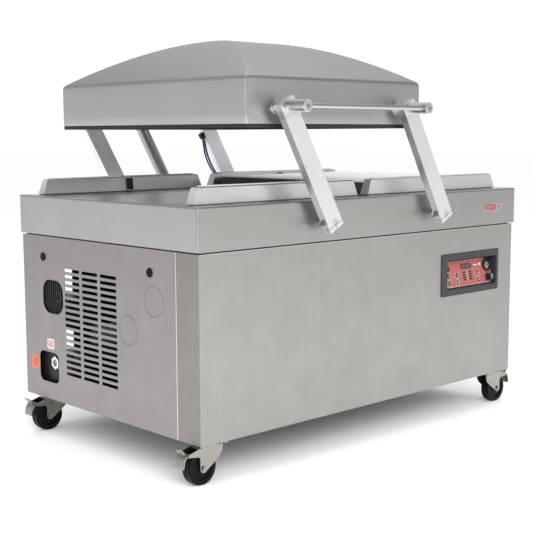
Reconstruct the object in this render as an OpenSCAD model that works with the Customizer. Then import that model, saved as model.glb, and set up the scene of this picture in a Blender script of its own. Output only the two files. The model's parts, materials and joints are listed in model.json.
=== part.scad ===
// Floor-standing double-chamber vacuum packing machine.
// One swing-over lid is carried by four parallel arms and serves two chambers.
// The cabinet stands on four swivel casters with brake pedals.

/* [Table] */
// Width of the worktable
table_w = 1480; // [1460:10:1500]
// Depth of the worktable
table_d = 930; // [920:5:940]
// Height of the worktable surface above the floor
table_h = 789; // [784:1:800]
// Height of the worktable rim
rim_h = 124; // [110:1:126]

/* [Lid] */
// Width of the lid
lid_w = 754; // [740:1:756]
// Depth of the lid
lid_d = 930; // [910:1:930]
// Height of the lid's straight side
lid_side = 131; // [120:1:140]
// Rise of the lid's dome above its side
dome_h = 138; // [110:1:150]
// Sheet thickness of the lid
lid_t = 3; // [2:0.5:4]

/* [Arms] */
// Distance between an arm's two pivots
arm_r = 385; // [380:1:390]
// Angle of the arms from upright at rest, leaning to the left
lean = 29; // [10:1:45]
// Width of the arm's tube
arm_w = 60; // [50:1:64]
// Thickness of the arm's tube
arm_t = 25; // [20:1:26]

/* [Casters] */
// Diameter of the caster wheels
wheel_d = 100; // [90:1:100]
// Width of the caster wheels
wheel_w = 32; // [26:1:34]

/* [Hidden] */
$fn = 64;
eps = 0.01;

// Everything is drawn with x = 0 at the table's left edge, y = 0 at its front
// face and z = 0 on the floor, then moved so that the origin is on the floor
// under the middle of the whole machine; the casters sit a little to the right.
off_x = 7;
module place() { translate([-table_w/2 - off_x, -table_d/2, 0]) children(); }

rim_z = table_h - rim_h;      // underside of the table's rim
body_z0 = 124;                // underside of the cabinet
body_z1 = 660;                // top edge of the cabinet's panels
inset = 6.5;                  // how far the panels stand back from the rim
sheet = 2;                    // sheet thickness of the panels
pivot_z = 725;                // height of the arms' lower pivots
pivot_dx = 264;               // half the distance between two lower pivots
fork_y = [60, table_d - 66];  // caster axes, front and rear
fork_x = [68 + off_x, table_w - 68 + off_x];  // caster axes, left and right

arm_xl = table_w/2 - pivot_dx;
arm_xr = table_w/2 + pivot_dx;
front_arm_y = -42.5;
rear_arm_y = table_d + 42.5;
tube_y = table_d + 104;
top_dx = -arm_r*sin(lean);
top_dz = arm_r*cos(lean);
top_z = pivot_z + top_dz;
lid_z = top_z - 48.7;                     // steel edge of the lid at rest
lid_x = table_w/2 + top_dx - lid_w/2;
lid_y = (table_d - lid_d)/2;

// Points of a rounded rectangle from corner to corner
function rr(x0, y0, x1, y1, r, n = 6) = [
  for (c = [[x1 - r, y0 + r, -90], [x1 - r, y1 - r, 0], [x0 + r, y1 - r, 90], [x0 + r, y0 + r, 180]])
    for (i = [0:n]) [c[0] + r*cos(c[2] + 90*i/n), c[1] + r*sin(c[2] + 90*i/n)]
];
module rrbox(x0, y0, x1, y1, z0, z1, r, n = 6) {
  translate([0, 0, z0]) linear_extrude(z1 - z0) polygon(rr(x0, y0, x1, y1, r, n));
}
module box(x0, y0, z0, x1, y1, z1) { translate([x0, y0, z0]) cube([x1 - x0, y1 - y0, z1 - z0]); }
// Extrusion of an x-z outline from y0 to y1
module ext_y(y0, y1) { translate([0, y1, 0]) rotate([90, 0, 0]) linear_extrude(y1 - y0) children(); }
// Extrusion of a y-z outline from x0 to x1
module ext_x(x0, x1) { translate([x0, 0, 0]) rotate([90, 0, 90]) linear_extrude(x1 - x0) children(); }
module cyl_y(x, z, r, y0, y1) { translate([x, y1, z]) rotate([90, 0, 0]) cylinder(r = r, h = y1 - y0); }
module cyl_x(y, z, r, x0, x1) { translate([x0, y, z]) rotate([0, 90, 0]) cylinder(r = r, h = x1 - x0); }
module cyl_z(x, y, r, z0, z1) { translate([x, y, z0]) cylinder(r = r, h = z1 - z0); }

// ---------------------------------------------------------------- cabinet

// square tubes of the frame, one per member, with a narrow gap at every joint
module tube_x(x0, y0, z0, x1, y1, z1, t = 3) difference() { box(x0, y0, z0, x1, y1, z1); box(x0 - 1, y0 + t, z0 + t, x1 + 1, y1 - t, z1 - t); }
module tube_y(x0, y0, z0, x1, y1, z1, t = 3) difference() { box(x0, y0, z0, x1, y1, z1); box(x0 + t, y0 - 1, z0 + t, x1 - t, y1 + 1, z1 - t); }
module tube_z(x0, y0, z0, x1, y1, z1, t = 3) difference() { box(x0, y0, z0, x1, y1, z1); box(x0 + t, y0 + t, z0 - 1, x1 - t, y1 - t, z1 + 1); }
module chassis_frame() color([0.45, 0.46, 0.48]) place() {
  // base tray with its drain slots
  difference() {
    box(10, 10, body_z0, table_w - 10, table_d - 10, body_z0 + 3);
    for (x = [560, 740, 920]) rrbox(x - 50, 300, x + 50, 320, body_z0 - 1, body_z0 + 4, 9);
  }
  zb = body_z0 + 3.4;
  for (y = [12, table_d - 41]) tube_x(51.4, y, zb, table_w - 51.4, y + 30, zb + 17.6, 2);
  for (x = [21, table_w - 51]) tube_y(x, 42.4, zb, x + 30, table_d - 41.4, zb + 17.6, 2);
  for (x = [21, table_w - 51]) for (y = [12, table_d - 41]) tube_z(x, y, zb, x + 30, y + 30, 639.6);
  // top rails
  for (y = [22, table_d - 62]) tube_x(22, y, 640, table_w - 22, y + 40, 690);
  for (x = [22, table_w - 62]) tube_y(x, 62.4, 640, x + 40, table_d - 62.4, 690);
  tube_y(table_w/2 - 20, 62.4, 650, table_w/2 + 20, table_d - 62.4, 690);
  // stands of the table plate
  for (x = [120, table_w - 150]) for (y = [30, table_d - 60]) tube_z(x, y, 690.4, x + 30, y + 30, table_h - 8.4);
}

// front sheet, folded round both front corners
win_x0 = 1088.5; win_x1 = 1382.5; win_z0 = 446.5; win_z1 = 559.5;
module front_panel() color([0.73, 0.72, 0.70]) place() difference() {
  union() {
    difference() {
      rrbox(inset, inset, table_w - inset, 300, body_z0, body_z1, 5);
      rrbox(inset + sheet, inset + sheet, table_w - inset - sheet, 301, body_z0 - 1, body_z1 + 1, 3);
      box(0, 108, body_z0 - 1, table_w, 302, body_z1 + 1);
    }
    for (s = [0, 1]) translate([s ? table_w : 0, 0, 0]) mirror([s, 0, 0])
      box(inset + sheet - eps, 106, body_z0 + 6, 20, 108, body_z1 - 10);
  }
  ext_y(0, 20) polygon(rr(win_x0, win_z0, win_x1, win_z1, 5));
}

// one field of cooling slots: columns from y0, rows from z0
slot_w = 84; slot_h = 10; slot_pitch_y = 99; slot_pitch_z = 19.6; slot_rows = 18;
module slot_field(y0, z0, cols, rows) {
  for (i = [0:cols - 1]) for (j = [0:rows - 1])
    polygon(rr(y0 + i*slot_pitch_y, z0 + j*slot_pitch_z, y0 + i*slot_pitch_y + slot_w, z0 + j*slot_pitch_z + slot_h, 3, 3));
}
lock_y = [229, 801]; lock_z = 592;
module side_sheet() {
  box(inset, 110, body_z0, inset + sheet, table_d - inset, body_z1);
  box(inset + sheet - eps, 110, body_z0 + 6, 18, 112, body_z1 - 6);
  box(inset + sheet - eps, table_d - inset - 2, body_z0 + 6, 18, table_d - inset, body_z1 - 6);
}
module left_side_panel() color([0.63, 0.615, 0.605]) place() difference() {
  side_sheet();
  ext_x(0, 9.5) slot_field(396, 221, 3, slot_rows);
  ext_x(0, 9.5) polygon(rr(689, 411, 808, 520, 40, 8));
  ext_x(0, 9.5) polygon(rr(724, 181, 838, 281, 22, 6));
  for (y = lock_y) cyl_x(y, lock_z, 5.05, 0, 12);
  // scored rings of the two knock-outs, cut into the outer face
  for (c = [[212, 510], [338, 410]]) difference() {
    cyl_x(c[0], c[1], 45.2, inset - 1, inset + 1.4);
    cyl_x(c[0], c[1], 44, inset - 2, inset + 2);
  }
}
module right_side_panel() color([0.63, 0.615, 0.605]) place() translate([table_w, 0, 0]) mirror([1, 0, 0]) difference() {
  side_sheet();
  ext_x(0, 9.5) slot_field(396, 221, 3, slot_rows);
  for (y = [150, 880]) for (z = [160, 592]) cyl_x(y, z, 2.6, 0, 12);
}
gland_x = 1250; gland_z = 220;
rear_screw_x = [40, 172, 212, 500, 980, table_w - 40];
module rear_panel() color([0.63, 0.615, 0.605]) place() difference() {
  union() {
    box(192.4, table_d - inset - sheet, body_z0, table_w - 20, table_d - inset, body_z1);
    // covers below and above the window behind the pump's exhaust
    box(20, table_d - inset - sheet, body_z0, 192, table_d - inset, 229.8);
    box(20, table_d - inset - sheet, 540.2, 192, table_d - inset, body_z1);
  }
  for (x0 = [500, 900]) ext_y(900, 940) slot_field(x0, 300, 3, 8);
  for (x = rear_screw_x) for (z = [160, 625]) cyl_y(x, z, 2.6, 900, 940);
  cyl_y(gland_x, gland_z, 12.1, 900, 940);
}
// pan-head screws of the rear and right panels
module screw_y() { rotate([-90, 0, 0]) rotate_extrude() polygon([[0, -2], [2.5, -2], [2.5, 0], [5, 0], [5, 1.2], [3.6, 2.4], [1.6, 2.8], [1.6, 1.4], [0, 1.4]]); }
module panel_screws() color([0.7, 0.7, 0.72]) place() {
  for (x = rear_screw_x) for (z = [160, 625]) translate([x, table_d - inset, z]) screw_y();
  for (y = [150, 880]) for (z = [160, 592]) translate([table_w - inset, y, z]) rotate([0, 0, -90]) screw_y();
}

// ---------------------------------------------------------------- table

edge_r = 6;
port_y = 889; port_x = [378, table_w - 378];
function top_round(a0, a1, z0, z1, r, n = 5) = concat([[a0, z0], [a1, z0]],
  [for (i = [0:n]) [a1 - r + r*cos(90*i/n), z1 - r + r*sin(90*i/n)]],
  [for (i = [0:n]) [a0 + r - r*sin(90*i/n), z1 - r + r*cos(90*i/n)]]);
module worktable() color([0.72, 0.73, 0.73]) place() difference() {
  intersection() {
    rrbox(0, 0, table_w, table_d, rim_z, table_h, 9);
    ext_y(-1, table_d + 1) polygon(top_round(0, table_w, rim_z - 1, table_h, edge_r));
    ext_x(-1, table_w + 1) polygon(top_round(0, table_d, rim_z - 1, table_h, edge_r));
  }
  rrbox(4, 4, table_w - 4, table_d - 4, rim_z - 1, table_h - 8, 5);
  for (x = port_x) cyl_z(x, port_y, 14, table_h - 20, table_h + 1);
}

// counter bars: long sloped ingots, one at the front and one at the rear of each chamber
bar_h = 51; bar_w0 = 36; bar_w1 = 28; bar_len = [668, 681]; bar_slope = 17;
bar_y = [80, table_d - 80];
bar_x = [36, 754];
module counter_bar(x0, yc, len) {
  z0 = table_h + 3; z1 = table_h + bar_h;
  intersection() {
    ext_y(yc - 40, yc + 40) polygon([[x0, z0], [x0 + len, z0], [x0 + len - bar_slope + 2, z1 - 6], [x0 + len - bar_slope, z1 - 2.5], [x0 + len - bar_slope - 4, z1],
      [x0 + bar_slope + 4, z1], [x0 + bar_slope, z1 - 2.5], [x0 + bar_slope - 2, z1 - 6]]);
    ext_x(x0 - 1, x0 + len + 1) polygon([[yc - bar_w0/2, z0], [yc + bar_w0/2, z0], [yc + bar_w1/2 + 0.3, z1 - 3], [yc + bar_w1/2 - 2.5, z1], [yc - bar_w1/2 + 2.5, z1], [yc - bar_w1/2 - 0.3, z1 - 3]]);
  }
  box(x0 + 6, yc - 14, table_h, x0 + len - 6, yc + 14, z0 + eps);
}
module counter_bars() color([0.82, 0.83, 0.84]) place()
  for (i = [0, 1]) for (y = bar_y) counter_bar(bar_x[i], y, bar_len[i]);
module bar_silicones() color([0.75, 0.74, 0.72]) place()
  for (i = [0, 1]) for (y = bar_y) ext_y(y - 8, y + 8)
    polygon([[bar_x[i] + 34, table_h + bar_h], [bar_x[i] + bar_len[i] - 34, table_h + bar_h], [bar_x[i] + bar_len[i] - 35, table_h + bar_h + 3], [bar_x[i] + 35, table_h + bar_h + 3]]);
// gas-flush nozzle blocks on the rear bars
module nozzle_blocks() color([0.06, 0.06, 0.07]) place() for (x = port_x) {
  yb = bar_y[1] - bar_w0/2;
  ext_x(x - 10, x + 10) polygon([[yb - 8, table_h + 6], [yb + 0.15, table_h + 6], [yb + 3.3, table_h + 46], [yb - 4.5, table_h + 46]]);
  for (z = [13, 26, 39]) cyl_y(x, table_h + z, 3, yb - 14, yb - 3);
}
// plastic filling plate of the right chamber
module filler_plate() color([0.85, 0.85, 0.86]) place()
  rrbox(table_w - 704, 104, table_w - 40, 812, table_h, table_h + 42, 8);

// hub, pin and flange of one lower arm pivot; y0 is the table's face and d the outward direction
module lower_pivot(x, y0, d) {
  translate([x, y0, pivot_z]) rotate([d < 0 ? 90 : -90, 0, 0]) rotate_extrude()
    polygon([[0, 0], [11, 0], [11, 3], [6, 3.5], [6, 26.5], [12, 27], [12, 29.6], [10, 29.6], [10, 53.5], [9, 54.5], [0, 54.5]]);
}
module pivot_brackets() color([0.78, 0.79, 0.80]) place() {
  for (x = [arm_xl, arm_xr]) {
    lower_pivot(x, 0, -1);
    lower_pivot(x, table_d, 1);
  }
  // bracket of the balance tube at the middle of the rear
  translate([table_w/2, table_d, pivot_z]) rotate([-90, 0, 0]) rotate_extrude()
    polygon([[0, 0], [40, 0], [40, 7], [39, 8], [26, 8], [22, 14], [20, 30], [20, 81.6], [8, 81.6], [8, 126.4], [15, 126.4], [15, 129], [14, 130], [0, 130]]);
}

// ---------------------------------------------------------------- control panel

// The face inside the recess leans back, so it looks a little upwards.
tilt = 12; face_y = 28; face_z = 500;
module face() { translate([0, face_y, face_z]) rotate([-tilt, 0, 0]) children(); }
// Cylinder along the face's normal at x, z on the face, from depth d0 (in front, negative) to d1
module pin_face(x, z, r, d0, d1) { face() cyl_y(x, z - face_z, r, d0, d1); }
key_x = [1133, 1133, 1180, 1180, 1299, 1299];
key_zz = [495.5, 470.5, 495.5, 470.5, 495.5, 470.5];
gauge_x = 1351.5; gauge_zz = 517;
knob_x = 1352.5; knob_zz = 474;
open_x0 = 1095; open_x1 = 1376; open_z0 = 453; open_z1 = 553;
module control_bezel() color([0.27, 0.27, 0.29]) place() {
  difference() {
    union() {
      // flange in front of the sheet
      intersection() {
        ext_y(3.2, inset) polygon(rr(1062.5, 431, 1391, 577, 8));
        union() {
          ext_y(5, inset + 1) polygon(rr(1061.5, 430, 1392, 578, 8));
          ext_y(3, 5.2) polygon(rr(1064.5, 433, 1389, 575, 7));
        }
      }
      // walls of the recess
      intersection() {
        ext_y(inset - eps, 60) polygon(rr(win_x0 + 0.5, win_z0 + 0.5, win_x1 - 0.5, win_z1 - 0.5, 5));
        face() box(1000, -100, -200, 1500, 6.2, 200);
      }
    }
    intersection() {
      ext_y(-10, 70) polygon(rr(open_x0, open_z0, open_x1, open_z1, 6));
      face() box(1000, -100, -200, 1500, 3.2, 200);
    }
    for (i = [0:5]) pin_face(key_x[i], key_zz[i], 10, 0, 12);
    pin_face(knob_x, knob_zz, 4, 0, 12);
  }
}
// membrane plate with one large and three small corner radii
function mem_pts(x0, z0, x1, z1, ra, rb, rc, n = 8) = concat(
  [for (i = [0:n]) [x0 + rc - rc*cos(90*i/n), z0 + rc - rc*sin(90*i/n)]],
  [for (i = [0:n]) [x1 - rb + rb*sin(90*i/n), z0 + rb - rb*cos(90*i/n)]],
  [for (i = [0:2*n]) [x1 - ra + ra*cos(90*i/(2*n)), z1 - ra + ra*sin(90*i/(2*n))]],
  [for (i = [0:n]) [x0 + rc - rc*sin(90*i/n), z1 - rc + rc*cos(90*i/n)]]);
module control_membrane() color([0.84, 0.27, 0.27]) place() difference() {
  face() ext_y(0, 3) polygon(mem_pts(1114, 455 - face_z, 1374.5, 545 - face_z, 44, 16, 10));
  for (i = [0:5]) pin_face(key_x[i], key_zz[i], 9, -2, 8);
  pin_face(knob_x, knob_zz, 3.06, -2, 8);
  // window of the display
  face() ext_y(-1, 0.6) polygon(rr(1205, 513 - face_z, 1268, 533 - face_z, 8));
}
module vacuum_gauge() color([0.08, 0.08, 0.09]) place() face() translate([gauge_x, 0, gauge_zz - face_z]) rotate([90, 0, 0])
  rotate_extrude() polygon([[0, 0], [21.5, 0], [21.5, 5.5], [20.5, 6.5], [17.5, 6.5], [16.5, 5.5], [16.5, 3], [0, 3]]);
module key_cap(i) color([0.12, 0.12, 0.13]) place() face() translate([key_x[i], 0, key_zz[i] - face_z]) rotate([90, 0, 0])
  rotate_extrude() polygon([[0, -3], [8.7, -3], [8.7, 0.8], [8.2, 1.5], [6, 1.9], [0, 2]]);
module control_knob() color([0.07, 0.07, 0.08]) place() face() translate([knob_x, 0, knob_zz - face_z]) rotate([90, 0, 0]) difference() {
  rotate_extrude() polygon([[0, -9], [3, -9], [3, 0.5], [14, 0.5], [14, 4], [12, 6], [11.4, 19], [10.4, 20], [0, 20]]);
  // finger flutes round the grip
  for (a = [0:30:330]) rotate([0, 0, a]) translate([13.4, 0, 8]) cylinder(r = 2, h = 14, $fn = 24);
}
// plain plates without any mark
module blank_badges() color([0.75, 0.2, 0.2]) place() {
  ext_y(-1.5, 0) polygon(rr(1288, 712, 1396, 741, 13));
  ext_x(inset - 0.8, inset) polygon(rr(748, 292, 790, 326, 4));
  ext_x(inset - 0.8, inset) polygon(rr(845, 214, 889, 258, 3));
}

// quarter-turn lock of the side panel: head outside, cam inside
module panel_lock(y) color([0.1, 0.1, 0.11]) place() translate([inset, y, lock_z]) rotate([0, -90, 0]) {
  difference() {
    rotate_extrude() polygon([[0, -9], [5, -9], [5, 0.4], [14, 0.4], [14, 1.6], [12.6, 3], [6, 3], [0, 3]]);
    translate([0, 0, 1.2]) for (a = [0, 90]) rotate([0, 0, a]) translate([-4.5, -1, 0]) cube([9, 2, 3]);
  }
  translate([-6, -7, -12]) cube([34, 14, 3]);
}

// ---------------------------------------------------------------- inside the cabinet

pump_y = 760; pump_z = 290;
module vacuum_pump() color([0.12, 0.12, 0.13]) place() {
  // ribbed end plate of the exhaust box, its outlet ring, the duct and its neck
  ext_x(16, 24) polygon(rr(702, 398, 822, 534, 10));
  for (y = [708:12:812]) box(12, y, 404, 16.5, y + 4, 528);
  difference() { cyl_x(722, 466, 17, 10.5, 17); cyl_x(722, 466, 12, 8, 15); }
  rrbox(23.9, 684, 229.5, 816, 368, 462, 6);
  box(229, 700, 380, 270, 812, 462);
  // oil case
  ext_x(26, 34.1) polygon(rr(676, 150, 866, 285, 10));
  rrbox(34, 676, 229.5, 866, body_z0 + 23, 262, 10);
  // pump cylinder and motor on one axis
  cyl_x(pump_y, pump_z, 112, 229, 430);
  translate([429, pump_y, pump_z]) rotate([0, 90, 0]) rotate_extrude() polygon(concat([[0, 0]],
    [for (i = [0:14]) for (q = [[0, 96], [7, 96], [7, 88], [14, 88]]) [q[1], i*14 + q[0]]], [[100, 210], [100, 255], [88, 268], [0, 268]]));
  for (x = [250, 380, 600]) box(x, pump_y - 100, body_z0 + 3, x + 34, pump_y + 100, pump_z - 40);
  box(60, 690, body_z0 + 3, 200, 850, body_z0 + 24);
  // inlet flange
  cyl_z(330, pump_y, 34, pump_z + 80, 440);
  cyl_z(330, pump_y, 52, 428, 440);
}
module oil_sight_glass() color([0.75, 0.76, 0.78]) place() translate([14, 759, 246]) rotate([0, 90, 0]) difference() {
  union() {
    cylinder(r = 22, h = 8, $fn = 6);
    translate([0, 0, 7.9]) cylinder(r = 20, h = 4.1);
  }
  translate([0, 0, -1]) cylinder(r = 12, h = 7);
}
module vacuum_manifold() color([0.35, 0.36, 0.38]) place() difference() {
  union() {
    cyl_x(port_y, 745, 18, 349, port_x[1] + 27);
    for (x = port_x) {
      cyl_z(x, port_y, 24, 730, table_h - 12);
      cyl_z(x, port_y, 34, table_h - 16, table_h - 8);
    }
    // junction blocks and the pipe from the pump
    box(295, pump_y - 35, 712, 365, pump_y + 35, 778);
    box(296, 856, 714, 350, 922, 776);
    cyl_z(330, pump_y, 30, 440, 713);
    cyl_z(330, pump_y, 52, 440, 452);
    cyl_y(323, 745, 24, pump_y + 34, 857);
  }
  for (x = port_x) cyl_z(x, port_y, 14, 740, table_h);
}
module electrical_box() color([0.6, 0.61, 0.62]) place() difference() {
  union() {
    rrbox(1020, 560, 1320, 840, body_z0 + 3, 481, 6);
    rrbox(1016, 556, 1324, 844, 480, 500, 6);
  }
  rrbox(1022, 562, 1318, 838, body_z0 + 2, 498, 4);
}
module cable_gland() color([0.13, 0.13, 0.14]) place() difference() {
  union() {
    cyl_y(gland_x, gland_z, 12, 896, 944);
    translate([gland_x, table_d - inset + 10, gland_z]) rotate([90, 0, 0]) cylinder(r = 19, h = 10, $fn = 6);
    translate([gland_x, table_d - inset + 10, gland_z]) rotate([-90, 0, 0]) rotate_extrude()
      polygon([[0, 0], [15, 0], [15, 12], [11, 20], [0, 20]]);
    translate([gland_x, 921.5, gland_z]) rotate([90, 0, 0]) cylinder(r = 19, h = 6, $fn = 6);
  }
  cyl_y(gland_x, gland_z, 7, 890, 960);
}

// ---------------------------------------------------------------- casters

trail = 32; wheel_r = wheel_d/2; plate_z = 120;
// s is -1 on the left and +1 on the right: the wheel trails outwards
module at_caster(i, s) { translate([fork_x[s < 0 ? 0 : 1], fork_y[i], 0]) mirror([s < 0 ? 0 : 1, 0, 0]) children(); }
module caster_plate() {
  difference() {
    rrbox(-50, -42.5, 50, 42.5, plate_z, body_z0, 6);
    for (x = [-40, 40]) for (y = [-32, 32]) cyl_z(x, y, 4.6, plate_z - 1, body_z0 + 1);
    cyl_z(0, 0, 6.05, plate_z - 1, body_z0 + 1);
  }
  for (x = [-40, 40]) for (y = [-32, 32]) translate([x, y, plate_z - 5.5]) cylinder(r = 7.5, h = 5.5, $fn = 6);
}
module caster_plates() color([0.66, 0.66, 0.63]) place()
  for (i = [0, 1]) for (s = [-1, 1]) at_caster(i, s) caster_plate();

// outline of a fork cheek in x-z, measured from the wheel's axle
cheek = concat([for (a = [180:20:320]) [13*cos(a), wheel_r + 13*sin(a)]],
  [[40, 62], [58, 75], [68, 90], [70, 104], [70, 110], [-14, 110], [-54, 99], [-56, 97], [-56, 91], [-22, 87], [-15, 84], [-13, 78]]);
module fork_cheek(y0, y1) { translate([-trail, 0, 0]) ext_y(y0, y1) polygon(cheek); }
module caster_fork() {
  difference() {
    union() {
      for (s = [-1, 1]) fork_cheek(s*20.5 - 1.5, s*20.5 + 1.5);
      // crown between the cheeks
      intersection() {
        ext_y(-21, 21) translate([-trail, 0]) polygon([[-14, 110], [68, 110], [68, 106.5], [-14, 106.5]]);
        box(-200, -21, 0, 200, 21, 200);
      }
      translate([0, 0, 110 - eps]) rotate_extrude() polygon([[0, 0], [29, 0], [31, 2], [31, 6], [29, 8], [20, 8], [20, 9.6], [0, 9.6]]);
      cyl_z(0, 0, 6, 110, body_z0 - 0.5);
    }
    cyl_y(-trail, wheel_r, 5.05, -30, 30);
    cyl_y(-trail - 50, 95, 2.55, -30, 30);
  }
  // axle bolt and nut
  cyl_y(-trail, wheel_r, 5, -24.5, 24.5);
  for (s = [-1, 1]) translate([-trail, s < 0 ? -22.05 : 22.05 + 4.5, wheel_r]) rotate([90, 0, 0]) cylinder(r = 7.4, h = 4.5, $fn = 6);
}
module caster_wheel() translate([-trail, 0, wheel_r]) rotate([90, 0, 0]) rotate_extrude() polygon([
  [5.08, -18], [11, -18], [11, -13], [34, -11], [36, -16], [wheel_r - 3, -16], [wheel_r - 0.8, -15], [wheel_r, -12.5],
  [wheel_r, -5], [wheel_r - 1.2, -4], [wheel_r - 1.2, 4], [wheel_r, 5], [wheel_r, 12.5], [wheel_r - 0.8, 15],
  [wheel_r - 3, 16], [36, 16], [34, 11], [11, 13], [11, 18], [5.08, 18]]);
// brake pedal: pressed lever between the cheeks with a release tab above
module caster_brake() translate([-trail, 0, 0]) difference() {
  union() {
    // foot plate hanging in front of the wheel
    ext_y(-20, 20) polygon([[-58.5, 92], [-60, 97.5], [-64, 92], [-69, 84], [-73, 60], [-70, 59], [-65.5, 82]]);
    // release tab
    ext_y(-13, 13) polygon([[-56.5, 94], [-57, 98.5], [-70, 113], [-76, 117.5], [-78, 115.8], [-72.5, 110.5], [-61, 95]]);
    // hub between the cheeks
    cyl_y(-50, 95, 5.5, -18.5, 18.5);
    ext_y(-17, 17) polygon([[-50, 91.5], [-50, 98.6], [-60.5, 96.6], [-62, 91]]);
  }
  cyl_y(-50, 95, 2.58, -30, 30);
}
module brake_pin() cyl_y(-trail - 50, 95, 2.5, -22.6, 22.6);
module fork_at(i, s) color([0.72, 0.72, 0.68]) place() at_caster(i, s) { caster_fork(); brake_pin(); }
module wheel_at(i, s) color([0.07, 0.07, 0.08]) place() at_caster(i, s) caster_wheel();
module brake_at(i, s) color([0.78, 0.78, 0.76]) place() at_caster(i, s) caster_brake();

// ---------------------------------------------------------------- arms

arm_wall = 3; low_end = -8; high_end = arm_r - 24;
module arm_at(x, y) { translate([x, y, pivot_z]) rotate([0, -lean, 0]) children(); }
// f is the side the arm's outer face looks to: -1 front, +1 rear
module arm_tube(x, y, f) color([0.82, 0.83, 0.84]) place() arm_at(x, y) difference() {
  box(-arm_w/2, -arm_t/2, low_end, arm_w/2, arm_t/2, high_end);
  box(-arm_w/2 + arm_wall, -arm_t/2 + arm_wall, low_end - 1, arm_w/2 - arm_wall, arm_t/2 - arm_wall, high_end + 1);
  // notch round the pivot, open to the end, in both wide faces
  cyl_y(0, 0, 11, -20, 20);
  box(-11, -20, low_end - 1, 11, 20, 0);
  // clamp screw's hole
  cyl_x(0, 16, 4.2, -arm_w/2 - 1, -arm_w/2 + arm_wall + 1);
}
plug_w = arm_w - 2*arm_wall - 0.2; plug_t = arm_t - 2*arm_wall - 0.2;
// bore radius of the top pivot: a running fit on the arm that carries the lid, open on the others
module arm_block(x, y, f, top_bore) color([0.80, 0.81, 0.82]) place() arm_at(x, y) {
  difference() {
    union() {
      box(-plug_w/2, -plug_t/2, low_end - 1, plug_w/2, plug_t/2, 44);
      box(-arm_w/2, -arm_t/2, low_end - 14, arm_w/2, arm_t/2, low_end - 0.4);
      cyl_y(0, 0, 10.9, -arm_t/2 + 0.5, arm_t/2 - 0.5);
      box(-10.9, -arm_t/2 + 0.5, low_end - 0.1, 10.9, arm_t/2 - 0.5, 0);
    }
    cyl_y(0, 0, 10.05, -20, 20);
    cyl_x(0, 16, 4.05, -arm_w/2 - 1, -10);
    // clamp slit from the end to the bore
    box(-1, -20, low_end - 15, 1, 20, -5);
  }
  difference() {
    union() {
      box(-plug_w/2, -plug_t/2, high_end - 40, plug_w/2, plug_t/2, high_end + 1);
      ext_y(-arm_t/2, arm_t/2) polygon(concat([[-arm_w/2, high_end + 0.4], [arm_w/2, high_end + 0.4]],
        [for (i = [0:8]) [arm_w/2 - 7 + 7*cos(90*i/8), arm_r + 14 + 7*sin(90*i/8)]],
        [for (i = [0:4]) [-arm_w/2 + 2 - 2*sin(90*i/4), arm_r + 19 + 2*cos(90*i/4)]]));
    }
    cyl_y(0, arm_r, top_bore, -20, 20);
  }
  // clamp screw with nut and washer on the arm's narrow side
  cyl_x(0, 16, 4, -arm_w/2 - 20, -14);
  translate([-arm_w/2 - 9.5, 0, 16]) rotate([0, 90, 0]) cylinder(r = 7.5, h = 6.5, $fn = 6);
  difference() {
    cyl_x(0, 16, 9, -arm_w/2 - 2.9, -arm_w/2 - 0.1);
    cyl_x(0, 16, 4.02, -arm_w/2 - 4, -arm_w/2 + 1);
  }
}
// tube that carries the lid's balancing spring, behind the rear arms
module balance_tube() color([0.52, 0.50, 0.49]) place() arm_at(table_w/2, tube_y) {
  difference() {
    union() {
      cylinder(r = 22, h = arm_r);
      for (s = [0, arm_r]) cyl_y(0, s, 24, -21, 21);
      for (s = [44, arm_r - 52]) translate([0, 0, s]) cylinder(r = 24, h = 8);
    }
    translate([0, 0, 30]) cylinder(r = 18, h = arm_r - 60);
    cyl_y(0, 0, 8.05, -30, 30);
    cyl_y(0, arm_r, 8.5, -30, 30);
  }
}

// hose and cable on the rear right arm: [distance from the arm's axis, distance along the arm]
route = [[-38, 300], [-39, 288], [-44, 270], [-50, 248], [-53, 225], [-54, 203], [-53, 181], [-50, 158], [-44, 136], [-39, 118], [-38, 106]];
function cr(p, i, t) = let (a = p[max(i - 1, 0)], b = p[i], c = p[i + 1], d = p[min(i + 2, len(p) - 1)])
  0.5*((2*b) + (c - a)*t + (2*a - 5*b + 4*c - d)*t*t + (3*b - a - 3*c + d)*t*t*t);
function smooth_path(p, n) = concat([for (i = [0:len(p) - 2]) for (j = [0:n - 1]) cr(p, i, j/n)], [p[len(p) - 1]]);
function seg_dir(p, i) = let (a = (i == 0 || i == len(p) - 1) ? [0, -1] : p[i + 1] - p[i - 1]) a/norm(a);
// tube of radius r along a path in the arm's u-s plane, at y = v
module swept(p, r, v, k = 10) {
  n = len(p);
  pts = [for (i = [0:n - 1]) let (d = seg_dir(p, i), m = [-d[1], d[0]])
    for (j = [0:k - 1]) let (a = 360*j/k) [p[i][0] + r*cos(a)*m[0], v + r*sin(a), p[i][1] + r*cos(a)*m[1]]];
  faces = concat([[for (j = [k - 1:-1:0]) j]], [[for (j = [0:k - 1]) (n - 1)*k + j]],
    [for (i = [0:n - 2]) for (j = [0:k - 1]) [i*k + j, i*k + (j + 1)%k, (i + 1)*k + (j + 1)%k, (i + 1)*k + j]]);
  polyhedron(points = pts, faces = faces);
}
module arm_cables() color([0.10, 0.28, 0.48]) place() arm_at(arm_xr, rear_arm_y) {
  swept(smooth_path(route, 2), 4, -5);
  swept([for (q = smooth_path(route, 2)) [q[0] + (q[0] + 38)*0.25, q[1]]], 3, 4);
  // clips that hold both ends on the arm's narrow face
  for (s = [300, 86]) translate([-arm_w/2 - 0.1, 0, s]) rotate([0, 0, 180])
    linear_extrude(20) polygon([[0, -10.5], [13, -10.5], [15, -8.5], [15, 8.5], [13, 10.5], [0, 10.5]]);
}

// ---------------------------------------------------------------- lid

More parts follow.
